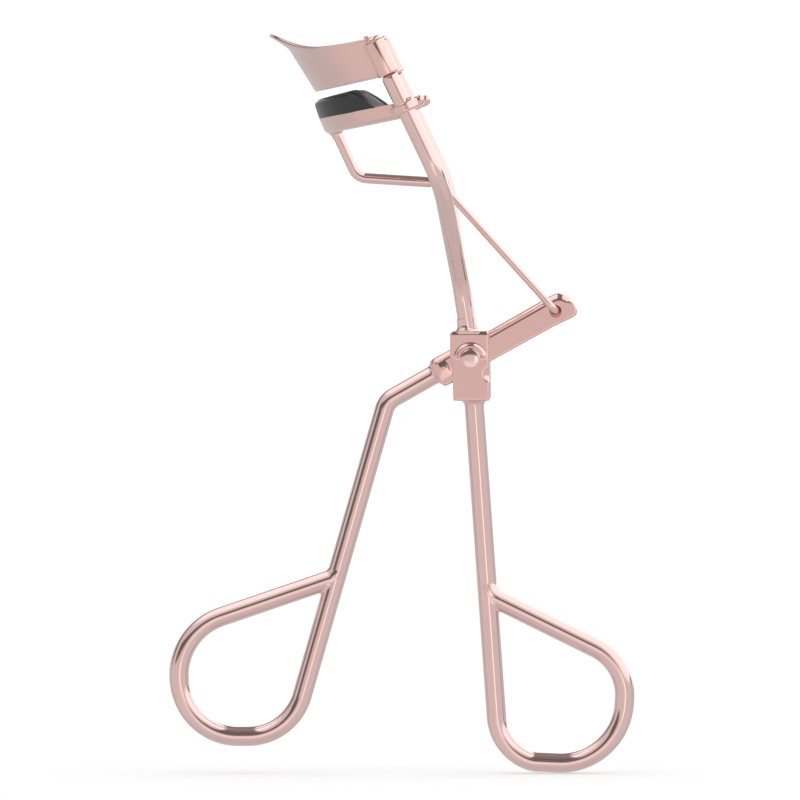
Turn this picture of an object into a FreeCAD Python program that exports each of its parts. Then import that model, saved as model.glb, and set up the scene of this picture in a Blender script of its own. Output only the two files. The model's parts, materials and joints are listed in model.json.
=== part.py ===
import FreeCAD, Part
import math
import os
import Sketcher

# Eyelash curler, standing as it is held: jaws up, finger loops down.
# X runs across the two handles, Y along the jaws' width, Z is up.  All
# positions below are measured from the pivot, the rivet's axis, in mm.

V = FreeCAD.Vector
FRONT, REAR = -1, 1

SIZES = [
    ("pivot_x", 9.9, "pivot, from the middle of the whole width"),
    ("pivot_z", 58.8, "pivot, above the lowest loop"),
    ("wire_dia", 2.75, "wire of both handles"),
    ("rail_dia", 2.45, "wire of both rails"),
    ("running_gap", 0.06, "radial clearance of every running fit"),
    # bracket
    ("cheek_in", 2.1, "inner face of a cheek, from the middle plane"),
    ("cheek_thick", 2.3, "thickness of a cheek"),
    ("cheek_top", 3.9, "top edge of the cheeks"),
    ("cheek_step", 0.1, "where the outline steps in"),
    ("cheek_foot", -5.97, "bottom edge of the cheeks"),
    ("cheek_left_up", -2.9, "left edge above the step"),
    ("cheek_left_low", -2.48, "left edge below the step"),
    ("cheek_right_up", 2.62, "right edge at the top"),
    ("cheek_right_low", 2.77, "right edge at the bottom"),
    ("cheek_corner", 0.45, "corner radius of the cheeks"),
    ("spacer_top", -4.1, "top of the spacer block"),
    ("rivet_r", 0.8, "rivet shank radius"),
    ("rivet_head_r", 1.45, "rivet head radius"),
    ("rivet_head_high", 0.8, "rivet head height"),
    ("rivet_head_round", 0.72, "rounding of the rivet head"),
    # rails
    ("rail_foot_x", -0.3, "rail foot on the bracket"),
    ("rail_foot_y", 3.05, "rail foot, from the middle plane"),
    ("rail_start", 0.22, "gap under the rail foot, filled by braze"),
    ("neck_x", -1.35, "bend where the rails part"),
    ("neck_z", 10.2, "bend where the rails part"),
    ("neck_bend", 6.0, "radius of that bend"),
    ("shoulder_x", -3.85, "bend where the rails turn parallel"),
    ("shoulder_z", 24.8, "bend where the rails turn parallel"),
    ("shoulder_bend", 8.5, "radius of that bend"),
    ("rail_y", 17.0, "parallel rails, from the middle plane"),
    ("rail_lean", 25.5, "lean of the parallel rails, degrees"),
    ("tenon_r", 0.75, "rail tenon in the cheek"),
    ("tenon_deep", 1.6, "depth of that tenon"),
    ("tip_r", 1.05, "thinner rail end inside the jaw's sleeve"),
    ("tip_head_r", 1.3, "peened head on the rail end"),
    ("tip_head_high", 0.55, "height of that head"),
    # upper jaw
    ("sleeve_z", 40.3, "lower end of the sleeve, on the rail's line"),
    ("sleeve_r", 1.52, "sleeve outer radius"),
    ("sleeve_long", 5.1, "sleeve length"),
    ("plate_thick", 0.7, "jaw plate thickness"),
    ("plate_half", 16.3, "half width of the jaw plate"),
    ("edge_x", -22.1, "pressing edge at the middle of the jaw"),
    ("edge_z", 37.8, "pressing edge at the middle of the jaw"),
    ("edge_tilt", 13.2, "tilt of the pressing edge, degrees"),
    ("edge_r", 18.1, "curve of the pressing edge"),
    ("plate_end_high", 4.85, "height of the plate beside the rails"),
    ("plate_rise", 3.35, "how much higher the middle of the plate is"),
    ("rise_half", 7.6, "half width of that rise"),
    ("wall_lean", 32.0, "outward lean of the wall in the middle, degrees"),
    ("lip_high", 1.5, "height of the flared lip in the middle"),
    ("lip_out", 1.55, "how far the lip flares out past the wall's lean"),
    ("lip_half", 5.5, "half width of the flare"),
    ("lip_edge", 0.3, "height of the lip's rim beside the rails"),
    ("plate_stations", 7, "cross-sections from the middle of the plate to its end"),
    # lower jaw
    ("trough_r", 18.0, "outer curve of the trough"),
    ("trough_wide", 3.0, "width of the trough"),
    ("trough_wall", 0.5, "wall of the trough"),
    ("trough_half", 16.5, "half width of the trough"),
    ("floor_x", -20.6, "underside at the middle of the trough"),
    ("floor_z", 31.8, "underside at the middle of the trough"),
    ("floor_tilt", 12.0, "tilt of the underside, degrees"),
    ("brim_x", -21.6, "brim at the middle of the trough"),
    ("brim_z", 34.0, "brim at the middle of the trough"),
    ("brim_tilt", 11.0, "tilt of the brim, degrees"),
    ("groove_half", 13.9, "half width of the pad's groove"),
    ("eye_z", 35.6, "slide eye, on the rail's line"),
    ("eye_r", 2.05, "slide eye outer radius"),
    ("eye_high", 1.4, "slide eye height"),
    ("knob_r", 0.72, "rolled knob of the slide eye"),
    ("knob_out", 2.15, "knob's middle, from the rail's line"),
    # pad
    ("pad_base_half", 15.2, "half width of the pad on the brim"),
    ("pad_side_z", 36.1, "top of the pad's outer side"),
    ("pad_side_x", -22.25, "top of the pad's outer side"),
    ("pad_side_half", 14.5, "half width there"),
    ("pad_crown_z", 36.52, "pad's crown at the middle of the jaw"),
    ("pad_crown_x", -22.35, "pad's crown at the middle of the jaw"),
    ("pad_crown_half", 13.4, "half width there"),
    # bow strut and link
    ("strut_dia", 1.5, "strut wire"),
    ("strut_top_x", -19.25, "strut under the trough"),
    ("strut_bend_x", -16.15, "strut bend"),
    ("strut_bend_z", 25.65, "strut bend"),
    ("strut_bend_r", 2.2, "strut bend radius"),
    ("hook_x", -4.4, "strut's eye, where the link hooks in"),
    ("hook_z", 24.9, "strut's eye, where the link hooks in"),
    ("strut_eye_r", 1.3, "strut's eye outer radius"),
    ("strut_eye_thick", 1.1, "strut's eye thickness"),
    ("link_dia", 1.0, "link rod"),
    ("link_y", -2.9, "plane of the link rod's long run"),
    ("link_bend", 1.0, "radius of the link rod's two hooks"),
    ("link_head_r", 0.85, "upset ends of the link rod"),
    ("link_head_thick", 0.4, "upset ends of the link rod"),
    ("link_top_y", 1.15, "link rod's upper end"),
    ("link_low_y", 2.75, "link rod's lower end"),
    # lever, in its own tilted frame
    ("lever_tilt", 29.54, "angle of the lever above level, degrees"),
    ("lever_half", 2.0, "half width of the lever"),
    ("lever_sheet", 0.6, "sheet of the lever"),
    ("lever_tail", -5.4, "lever's crimped end"),
    ("lever_tail_top", 2.6, "top over the handle's wire"),
    ("lever_tail_end", -1.5, "where that top ends"),
    ("lever_arm_start", 4.3, "where the plain arm starts"),
    ("lever_top", 2.2, "top of the arm"),
    ("lever_low", -1.65, "bottom of the arm"),
    ("lever_flare", 12.6, "where the arm's end widens"),
    ("lever_end_low", -2.05, "bottom of the arm's end"),
    ("lever_end", 16.6, "arm's end"),
    ("lever_end_top_r", 2.3, "rounding of the arm's end, top"),
    ("lever_end_low_r", 1.0, "rounding of the arm's end, bottom"),
    ("link_hole_at", 13.79, "link hole, from the pivot"),
    ("link_hole_r", 0.83, "link hole radius"),
    # moving handle
    ("m_start_x", -2.6, "handle end inside the lever"),
    ("m_start_z", -0.75, "handle end inside the lever"),
    ("m_elbow_x", -12.0, "elbow"),
    ("m_elbow_z", -6.1, "elbow"),
    ("m_elbow_r", 3.0, "elbow radius"),
    ("m_heel_x", -25.65, "loop, inner bottom corner"),
    ("m_heel_z", -53.63, "loop, inner bottom corner"),
    ("m_heel_r", 8.0, "its radius"),
    ("m_toe_x", -38.9, "loop, outer bottom corner"),
    ("m_toe_z", -53.66, "loop, outer bottom corner"),
    ("m_toe_r", 8.3, "its radius"),
    ("m_back_x", -44.02, "loop, outer top corner"),
    ("m_back_z", -39.57, "loop, outer top corner"),
    ("m_back_r", 8.8, "its radius"),
    ("m_join_x", -19.18, "where the loop closes on the handle"),
    ("m_join_z", -31.08, "where the loop closes on the handle"),
    # fixed handle
    ("f_start_x", 0.2, "handle end between the cheeks"),
    ("f_start_z", -3.3, "handle end between the cheeks"),
    ("f_heel_x", 3.89, "loop, inner bottom corner"),
    ("f_heel_z", -55.04, "loop, inner bottom corner"),
    ("f_heel_r", 7.1, "its radius"),
    ("f_sole_x", 8.56, "loop, bottom"),
    ("f_sole_z", -57.23, "loop, bottom"),
    ("f_sole_r", 4.4, "its radius"),
    ("f_toe_x", 21.1, "loop, outer bottom corner"),
    ("f_toe_z", -57.77, "loop, outer bottom corner"),
    ("f_toe_r", 9.0, "its radius"),
    ("f_back_x", 22.14, "loop, outer top corner"),
    ("f_back_z", -43.28, "loop, outer top corner"),
    ("f_back_r", 7.5, "its radius"),
    ("f_join_x", 2.36, "where the loop closes on the handle"),
    ("f_join_z", -33.54, "where the loop closes on the handle"),
    # braze fillets
    ("stub_long", 3.2, "last stretch of a loop's bar, let into the handle"),
    ("braze_r", 1.75, "loop braze, radius against the handle"),
    ("braze_long", 2.3, "loop braze, length along the bar"),
    ("collar_r", 1.65, "braze collars round the wires' ends"),
    ("collar_high", 0.6, "height of those collars"),
]

SIZE_OF = {alias: value for alias, value, note in SIZES}


def size(alias):
    """A size by its alias; a leading minus sign turns it round."""
    if alias.startswith("-"):
        return -size(alias[1:])
    return SIZE_OF[alias]


def short_of_join(handle):
    """Where a loop's bar stops short of its own handle, so that a stub can close it."""
    bar = V(size(f"{handle}_join_x") - size(f"{handle}_back_x"), 0,
            size(f"{handle}_join_z") - size(f"{handle}_back_z")).normalize()
    return V(size(f"{handle}_join_x"), 0, size(f"{handle}_join_z")) - bar * size("stub_long")


groove_share = size("trough_wall") / (size("brim_z") - size("floor_z"))
FOLLOWING = [
    ("on_axis", 0.0, "the rivet's own axis"),
    ("wire_r", size("wire_dia") / 2, "radius of the handles' wire"),
    ("rail_r", size("rail_dia") / 2, "radius of the rails' wire"),
    ("rivet_face", size("cheek_in") + size("cheek_thick"), "outer face of the cheeks"),
    ("rivet_top", size("cheek_in") + size("cheek_thick") + size("rivet_head_high"), "top of the rivet"),
    ("lever_end_toe", size("lever_end") - 1.4, "where the arm's end is deepest"),
    ("lever_past_tail", size("lever_tail") - 1.5, "clear of the lever's tail"),
    ("lever_below", size("lever_end_low") - 1.5, "clear below the lever"),
    ("lever_inner_end", size("lever_end") - size("lever_sheet"), "inside of the arm's end"),
    ("lever_under_top", size("lever_top") - size("lever_sheet"), "under the arm's web"),
    ("lever_under_tail", size("lever_tail_top") - size("lever_sheet"), "under the tail's web"),
    ("groove_x", size("floor_x") + (size("brim_x") - size("floor_x")) * groove_share, "groove floor"),
    ("groove_z", size("floor_z") + size("trough_wall"), "groove floor"),
    ("groove_tilt", size("floor_tilt") + (size("brim_tilt") - size("floor_tilt")) * groove_share,
     "tilt of the groove floor, degrees"),
    ("m_stop_x", short_of_join("m").x, "end of the moving loop's bar"),
    ("m_stop_z", short_of_join("m").z, "end of the moving loop's bar"),
    ("f_stop_x", short_of_join("f").x, "end of the fixed loop's bar"),
    ("f_stop_z", short_of_join("f").z, "end of the fixed loop's bar"),
]
SIZE_OF.update({alias: value for alias, value, note in FOLLOWING})

doc = FreeCAD.newDocument("eyelash_curler")
sheet = doc.addObject("Spreadsheet::Sheet", "Sizes")
for row, (alias, value, note) in enumerate(SIZES + FOLLOWING, start=1):
    sheet.set(f"A{row}", note)
    sheet.set(f"B{row}", str(value))
    sheet.setAlias(f"B{row}", alias)
doc.recompute()

PARTS = []


# ---------------------------------------------------------------- helpers

def bind(item, prop, formula):
    """Bind a property to the sheet; words of the formula that are aliases are looked up there."""
    words = formula.replace("(", " ( ").replace(")", " ) ").split()
    item.setExpression(prop, " ".join(f"Sizes.{w}" if w in SIZE_OF else w for w in words))


def at_pivot(x, y, z):
    return V(size("pivot_x") + x, y, size("pivot_z") + z)


def keep(item, label):
    item.Label = label
    PARTS.append(item)
    return item


def new_body(label, tilt=0.0):
    """A body whose own origin is the pivot, turned up by tilt degrees."""
    body = doc.addObject("PartDesign::Body", label)
    body.Placement = FreeCAD.Placement(at_pivot(0, 0, 0), FreeCAD.Rotation(V(0, -1, 0), tilt))
    return keep(body, label)


def new_sketch(body, name, role, offset=None):
    sketch = body.newObject("Sketcher::SketchObject", name)
    plane = next(f for f in body.Origin.OriginFeatures if f.Role == role)
    sketch.AttachmentSupport = (plane, [""])
    sketch.MapMode = "FlatFace"
    if offset:
        sketch.AttachmentOffset = offset
    return sketch


def constrain(sketch, kind, *terms, formula=None):
    index = sketch.addConstraint(Sketcher.Constraint(kind, *terms))
    if formula:
        bind(sketch, f"Constraints[{index}]", formula)
    return index


def pin_point(sketch, geometry, end, across, up):
    """Fix a point of the sketch by two aliases, each of which may carry a minus sign."""
    for kind, alias in (("DistanceX", across), ("DistanceY", up)):
        formula = f"0 mm - {alias[1:]} * 1 mm" if alias.startswith("-") else f"{alias} * 1 mm"
        constrain(sketch, kind, -1, 1, geometry, end, size(alias), formula=formula)


def rounded_line(sketch, corners, closed=False):
    """Straight runs between corners (across, up, radius or None), joined by tangent arcs."""
    count = len(corners)
    spots = [V(size(c[0]), size(c[1]), 0) for c in corners]
    marks = []
    for spot, corner in zip(spots, corners):
        mark = sketch.addGeometry(Part.Point(spot), True)
        pin_point(sketch, mark, 1, corner[0], corner[1])
        marks.append(mark)
    bends = {}
    for i, corner in enumerate(corners):
        if corner[2]:
            before, after = spots[i - 1], spots[(i + 1) % count]
            bends[i] = tangent_arc(before, spots[i], after, size(corner[2]))
    runs = []
    for i in range(count if closed else count - 1):
        j = (i + 1) % count
        start = bends[i][2] if i in bends else spots[i]
        stop = bends[j][0] if j in bends else spots[j]
        run = sketch.addGeometry(Part.LineSegment(start, stop), False)
        runs.append(run)
        for k, end in ((i, 1), (j, 2)):
            if k in bends:
                constrain(sketch, "PointOnObject", marks[k], 1, run)
            else:
                constrain(sketch, "Coincident", run, end, marks[k], 1)
    for i, (begin, middle, finish) in bends.items():
        turns_left = (middle - begin).cross(finish - middle).z > 0
        arc = sketch.addGeometry(flat_arc(begin, middle, finish), False)
        first_end = 1 if turns_left else 2
        constrain(sketch, "Tangent", runs[i - 1], 2, arc, first_end)
        constrain(sketch, "Tangent", arc, 3 - first_end, runs[i], 1)
        constrain(sketch, "Radius", arc, size(corners[i][2]), formula=f"{corners[i][2]} * 1 mm")
    return runs


def flat_arc(begin, middle, finish):
    """The arc through three points of a sketch, always running anticlockwise."""
    circle = Part.Arc(begin, middle, finish).toShape().Curve
    spokes = [spot - circle.Center for spot in (begin, finish)]
    angles = [math.atan2(spoke.y, spoke.x) for spoke in spokes]
    if (middle - begin).cross(finish - middle).z < 0:
        angles.reverse()
    if angles[1] < angles[0]:
        angles[1] += 2 * math.pi
    return Part.ArcOfCircle(Part.Circle(circle.Center, V(0, 0, 1), circle.Radius), angles[0], angles[1])


def tangent_arc(before, corner, after, radius):
    """Begin, middle and end of the arc that rounds a corner; works in space too."""
    back = (before - corner).normalize()
    on = (after - corner).normalize()
    half_open = back.getAngle(on) / 2
    inset = radius / math.tan(half_open)
    inward = (back + on).normalize()
    middle = corner + inward * (radius / math.sin(half_open) - radius)
    return corner + back * inset, middle, corner + on * inset


def crescent(body, name, x, z, tilt, centre, outer, inner, half):
    """A sketch of a curved band in a plane tilted about Y through the apex (x, z)."""
    turn = FreeCAD.Rotation(V(0, 1, 0), -size(tilt))
    sketch = new_sketch(body, name, "XY_Plane", FreeCAD.Placement(V(size(x), 0, size(z)), turn))
    mid = V(number(centre), 0, 0)
    half_size = size(half)
    arcs = []
    for formula in (outer, inner):
        radius = number(formula)
        angle = math.asin(half_size / number(outer))
        circle = Part.Circle(mid, V(0, 0, 1), radius)
        arc = sketch.addGeometry(Part.ArcOfCircle(circle, math.pi - angle, math.pi + angle), False)
        constrain(sketch, "Radius", arc, radius, formula=f"( {formula} ) * 1 mm")
        arcs.append((arc, radius, angle))
    for arc, _, _ in arcs:
        constrain(sketch, "PointOnObject", arc, 3, -1)
        constrain(sketch, "DistanceX", -1, 1, arc, 3, mid.x, formula=f"( {centre} ) * 1 mm")
    for end, side in ((1, 1), (2, -1)):
        tips = []
        for arc, radius, angle in arcs:
            reach = V(-math.cos(angle), side * math.sin(angle), 0)
            tips.append(mid + reach * radius)
        cap = sketch.addGeometry(Part.LineSegment(tips[0], tips[1]), False)
        constrain(sketch, "Coincident", cap, 1, arcs[0][0], end)
        constrain(sketch, "Coincident", cap, 2, arcs[1][0], end)
        constrain(sketch, "PointOnObject", arcs[0][0], 3, cap)
        sign = "" if side > 0 else "0 mm - "
        constrain(sketch, "DistanceY", -1, 1, cap, 1, side * half_size, formula=f"{sign}{half} * 1 mm")
    return sketch


def number(formula):
    """Value of a short sum of aliases and plain numbers, such as 'trough_r - trough_wall'."""
    total, sign = 0.0, 1
    for word in formula.split():
        if word in "+-":
            sign = 1 if word == "+" else -1
        else:
            total += sign * (SIZE_OF[word] if word in SIZE_OF else float(word))
    return total


def loft(body, name, sections, kind="PartDesign::AdditiveLoft"):
    feature = body.newObject(kind, name)
    feature.Profile = sections[0]
    feature.Sections = sections[1:]
    feature.Ruled = True
    return feature


def extrude(body, name, sketch, formula, kind="PartDesign::Pad", both_ways=False, back=False):
    feature = body.newObject(kind, name)
    feature.Profile = sketch
    if formula:
        bind(feature, "Length", f"( {formula} ) * 1 mm")
    else:
        feature.Type = "ThroughAll"
    if both_ways:
        feature.SideType = "Symmetric"
    feature.Reversed = back
    return feature


def circles(sketch, spots, formula):
    for across, up in spots:
        ring = sketch.addGeometry(Part.Circle(V(across, up, 0), V(0, 0, 1), number(formula)), False)
        constrain(sketch, "Radius", ring, number(formula), formula=f"( {formula} ) * 1 mm")
        constrain(sketch, "DistanceX", -1, 1, ring, 3, across)
        constrain(sketch, "DistanceY", -1, 1, ring, 3, up)


def along(direction):
    """Rotation that turns +Z to the given direction."""
    return FreeCAD.Rotation(V(0, 0, 1), direction)


def cylinder(name, radius, height, base, direction):
    item = doc.addObject("Part::Cylinder", name)
    bind(item, "Radius", f"( {radius} ) * 1 mm")
    bind(item, "Height", f"( {height} ) * 1 mm")
    item.Placement = FreeCAD.Placement(base, along(direction))
    return item


def cone(name, low, high, height, base, direction):
    item = doc.addObject("Part::Cone", name)
    bind(item, "Radius1", f"( {low} ) * 1 mm")
    bind(item, "Radius2", f"( {high} ) * 1 mm")
    bind(item, "Height", f"( {height} ) * 1 mm")
    item.Placement = FreeCAD.Placement(base, along(direction))
    return item


def fuse(name, items):
    item = doc.addObject("Part::MultiFuse", name)
    item.Shapes = items
    return item


def cut(name, base, tool):
    item = doc.addObject("Part::Cut", name)
    item.Base = base
    item.Tool = tool
    return item


def bent_wire(name, points, radii, diameter):
    """A round wire swept along straight runs joined by tangent arcs, in space."""
    edges = []
    start = points[0]
    for before, corner, after, radius in zip(points, points[1:], points[2:], radii):
        begin, middle, finish = tangent_arc(before, corner, after, radius)
        edges.append(Part.LineSegment(start, begin).toShape())
        edges.append(Part.Arc(begin, middle, finish).toShape())
        start = finish
    edges.append(Part.LineSegment(start, points[-1]).toShape())
    path = doc.addObject("Part::Feature", f"{name}_path")
    path.Shape = Part.Wire(edges)
    ring = doc.addObject("Part::Circle", f"{name}_ring")
    bind(ring, "Radius", f"{diameter} * 0.5 mm")
    ring.Placement = FreeCAD.Placement(points[0], along(points[1] - points[0]))
    wire = doc.addObject("Part::Sweep", f"{name}_wire")
    wire.Sections = [ring]
    wire.Spine = (path, [f"Edge{i + 1}" for i in range(len(edges))])
    wire.Solid = True
    return wire


def rail_point(z):
    """Point on the straight, parallel stretch of a rail, at y = 0."""
    rise = z - size("shoulder_z")
    return V(size("shoulder_x") - rise * math.tan(math.radians(size("rail_lean"))), 0, z)


RAIL_UP = V(-math.sin(math.radians(size("rail_lean"))), 0, math.cos(math.radians(size("rail_lean"))))


# ------------------------------------------------------------ upper jaw

def plate_section(y):
    """Outline of the jaw plate cut at y: outer edge, crease and lip, then back along the inside."""
    radius = size("edge_r")
    tilt = math.radians(size("edge_tilt"))
    inset = radius - math.sqrt(radius ** 2 - y ** 2)
    edge = V(size("edge_x") + inset * math.cos(tilt), size("edge_z") + inset * math.sin(tilt), 0)

    # near the rails the wall turns from its own lean to the rails' lean
    share = math.exp(-(y / size("rise_half")) ** 2)
    near_rail = (abs(y) / size("plate_half")) ** 4
    wall_slope = math.tan(math.radians(size("wall_lean")))
    rail_slope = math.tan(math.radians(size("rail_lean")))
    slope = wall_slope + (rail_slope - wall_slope) * near_rail
    flare = size("lip_out") * math.exp(-(y / size("lip_half")) ** 2)
    high = size("plate_end_high") + size("plate_rise") * share
    lip = size("lip_edge") + (size("lip_high") - size("lip_edge")) * share
    crease = edge + V(-slope * (high - lip), high - lip, 0)
    rim = edge + V(-slope * high - flare, high, 0)

    # the sheet's thickness, measured along X where the plate runs at a slant
    through = size("plate_thick") / math.sqrt(1 - (y / radius) ** 2)
    inner_edge = edge + V(through, through * math.tan(tilt), 0)
    return [
        edge,
        crease,
        rim,
        rim + V(through * 0.6, size("plate_thick") * 0.4 * share, 0),
        crease + V(through, size("plate_thick") * 0.35 * share, 0),
        inner_edge,
    ]


def upper_jaw_plate():
    body = new_body("upper_jaw_plate")
    count = int(size("plate_stations"))
    # the stations crowd towards the ends, where the plate turns fastest
    quarter = [size("plate_half") * math.sin(math.pi / 2 * i / (count - 1)) for i in range(count)]
    stations = [-y for y in reversed(quarter[1:])] + quarter
    sections = []
    for i, y in enumerate(stations):
        # the XZ plane's normal is -Y, so an offset along it is minus y
        face = FreeCAD.Placement(V(0, 0, -y), FreeCAD.Rotation())
        section = new_sketch(body, f"plate_section_{i}", "XZ_Plane", face)
        points = plate_section(y)
        lines = [section.addGeometry(Part.LineSegment(a, b), False)
                 for a, b in zip(points, points[1:] + points[:1])]
        for line in lines:
            constrain(section, "Block", line)
        sections.append(section)
    feature = loft(body, "plate", sections)
    feature.Ruled = False

    # the plate's two ends are rolled round the rails
    foot = rail_point(size("sleeve_z"))
    square = FreeCAD.Placement(foot, FreeCAD.Rotation(V(0, 1, 0), -size("rail_lean")))
    sleeves = new_sketch(body, "sleeve_rings", "XY_Plane", square)
    circles(sleeves, [(0, -size("rail_y")), (0, size("rail_y"))], "sleeve_r")
    extrude(body, "sleeves", sleeves, "sleeve_long")
    bores = new_sketch(body, "sleeve_bore_rings", "XY_Plane", square)
    circles(bores, [(0, -size("rail_y")), (0, size("rail_y"))], "tip_r")
    extrude(body, "sleeve_bores", bores, None, "PartDesign::Pocket", back=True)
    below = new_sketch(body, "rail_relief_rings", "XY_Plane", square)
    circles(below, [(0, -size("rail_y")), (0, size("rail_y"))], "rail_r")
    extrude(body, "rail_relief", below, None, "PartDesign::Pocket")


# ----------------------------------------------------------------- rails

def side_rail(label, side):
    foot_y = side * size("rail_foot_y")
    rail_y = side * size("rail_y")
    foot = at_pivot(size("rail_foot_x"), foot_y, size("cheek_top") + size("rail_start"))
    neck = at_pivot(size("neck_x"), foot_y, size("neck_z"))
    shoulder = at_pivot(size("shoulder_x"), rail_y, size("shoulder_z"))
    sleeve_foot = rail_point(size("sleeve_z"))
    top = at_pivot(sleeve_foot.x, rail_y, sleeve_foot.z)
    wire = bent_wire(label, [foot, neck, shoulder, top],
                     [size("neck_bend"), size("shoulder_bend")], "rail_dia")
    tip = cylinder(f"{label}_tip", "tip_r", "sleeve_long", top, RAIL_UP)
    head_foot = top + RAIL_UP * size("sleeve_long")
    head = cone(f"{label}_head", "tip_head_r", "tip_r * 0.7", "tip_head_high", head_foot, RAIL_UP)
    socket = at_pivot(size("rail_foot_x"), foot_y, size("cheek_top") - size("tenon_deep"))
    tenon = cylinder(f"{label}_tenon", "tenon_r", "tenon_deep + rail_start * 2", socket, V(0, 0, 1))
    rail = keep(fuse(label, [wire, tip, head, tenon]), label)

    base = at_pivot(size("rail_foot_x"), foot_y, size("cheek_top"))
    collar = cone(f"{label}_collar", "rail_dia * 0.61", "rail_dia * 0.54", "collar_high", base, V(0, 0, 1))
    name = label.replace("_side_rail", "_rail_braze")
    keep(cut(name, collar, rail), name)


# --------------------------------------------------------------- bracket

def bracket_cheek(label, side):
    body = new_body(label)
    back = size("cheek_in") if side == REAR else -size("cheek_in") - size("cheek_thick")
    # the XZ plane's normal is -Y, so an offset along it is minus y
    face = FreeCAD.Placement(V(0, 0, -back), FreeCAD.Rotation())
    outline = new_sketch(body, f"{label}_outline", "XZ_Plane", face)
    rounded_line(outline, [
        ("cheek_left_up", "cheek_top", "cheek_corner"),
        ("cheek_left_up", "cheek_step", None),
        ("cheek_left_low", "cheek_step", None),
        ("cheek_left_low", "cheek_foot", "cheek_corner"),
        ("cheek_right_low", "cheek_foot", "cheek_corner"),
        ("cheek_right_up", "cheek_top", "cheek_corner"),
    ], closed=True)
    extrude(body, f"{label}_plate", outline, "cheek_thick", back=True)
    hole = new_sketch(body, f"{label}_rivet_ring", "XZ_Plane", face)
    circles(hole, [(0, 0)], "rivet_r")
    extrude(body, f"{label}_rivet_hole", hole, None, "PartDesign::Pocket")
    top = FreeCAD.Placement(V(0, 0, size("cheek_top")), FreeCAD.Rotation())
    socket = new_sketch(body, f"{label}_socket_ring", "XY_Plane", top)
    circles(socket, [(size("rail_foot_x"), side * size("rail_foot_y"))], "tenon_r")
    extrude(body, f"{label}_socket", socket, "tenon_deep", "PartDesign::Pocket")


def handle_direction():
    """Unit vector up the fixed handle's wire."""
    run = V(size("f_start_x") - size("f_heel_x"), 0, size("f_start_z") - size("f_heel_z"))
    return run.normalize()


def bracket_spacer():
    block = doc.addObject("Part::Box", "spacer_block")
    bind(block, "Length", "( cheek_right_up - cheek_left_low ) * 1 mm")
    bind(block, "Width", "cheek_in * 2 mm")
    bind(block, "Height", "( spacer_top - cheek_foot ) * 1 mm")
    block.Placement.Base = at_pivot(size("cheek_left_low"), -size("cheek_in"), size("cheek_foot"))
    up = handle_direction()
    start = at_pivot(size("f_start_x"), 0, size("f_start_z"))
    bore = cylinder("spacer_bore", "wire_dia * 0.5", "wire_dia * 3", start - up * size("wire_dia") * 3, up)
    keep(cut("bracket_spacer", block, bore), "bracket_spacer")


def pivot_rivet():
    body = new_body("pivot_rivet")
    profile = new_sketch(body, "rivet_profile", "XY_Plane")
    spots = [
        ("on_axis", "-rivet_top", None),
        ("rivet_head_r", "-rivet_top", "rivet_head_round"),
        ("rivet_head_r", "-rivet_face", None),
        ("rivet_r", "-rivet_face", None),
        ("rivet_r", "rivet_face", None),
        ("rivet_head_r", "rivet_face", None),
        ("rivet_head_r", "rivet_top", "rivet_head_round"),
        ("on_axis", "rivet_top", None),
    ]
    rounded_line(profile, spots, closed=True)
    turned = body.newObject("PartDesign::Revolution", "rivet_turned")
    turned.Profile = profile
    turned.ReferenceAxis = (profile, ["V_Axis"])
    turned.Angle = 360


# --------------------------------------------------------------- handles

def wire_handle(label, corners, stop, join):
    """A handle bent from one wire, whose loop closes on its own straight run."""
    body = new_body(label)
    path = new_sketch(body, f"{label}_path", "XZ_Plane")
    rounded_line(path, corners + [stop + (None,)])
    first, second, last, meet = [V(size(spot[0]), 0, size(spot[1]))
                                 for spot in (corners[0], corners[1], stop, join)]
    ring = new_sketch(body, f"{label}_ring", "XY_Plane", FreeCAD.Placement(first, along(second - first)))
    circles(ring, [(0, 0)], "wire_r")
    pipe = body.newObject("PartDesign::AdditivePipe", f"{label}_pipe")
    pipe.Profile = ring
    pipe.Spine = (path, [])
    end = new_sketch(body, f"{label}_end_ring", "XY_Plane", FreeCAD.Placement(last, along(meet - last)))
    circles(end, [(0, 0)], "wire_r")
    extrude(body, f"{label}_stub", end, "stub_long - wire_r * 0.3")
    return body, meet, (meet - last).normalize()


def loop_braze(label, handle, meet, bar):
    base = at_pivot(meet.x, 0, meet.z) - bar * size("wire_dia") * 0.35
    lump = cone(f"{label}_cone", "braze_r", "wire_r + 0.04", "braze_long", base, -bar)
    keep(cut(label, lump, handle), label)


def fixed_handle():
    body, meet, bar = wire_handle("fixed_handle", [
        ("f_start_x", "f_start_z", None),
        ("f_heel_x", "f_heel_z", "f_heel_r"),
        ("f_sole_x", "f_sole_z", "f_sole_r"),
        ("f_toe_x", "f_toe_z", "f_toe_r"),
        ("f_back_x", "f_back_z", "f_back_r"),
    ], ("f_stop_x", "f_stop_z"), ("f_join_x", "f_join_z"))
    loop_braze("fixed_loop_braze", body, meet, bar)
    up = handle_direction()
    drop = (size("cheek_foot") - size("f_start_z")) / up.z
    mouth = at_pivot(size("f_start_x"), 0, size("f_start_z")) + up * drop
    collar = cone("fixed_handle_collar", "collar_r", "wire_r + 0.16", "collar_high", mouth, V(0, 0, -1))
    keep(cut("fixed_handle_braze", collar, body), "fixed_handle_braze")


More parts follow.
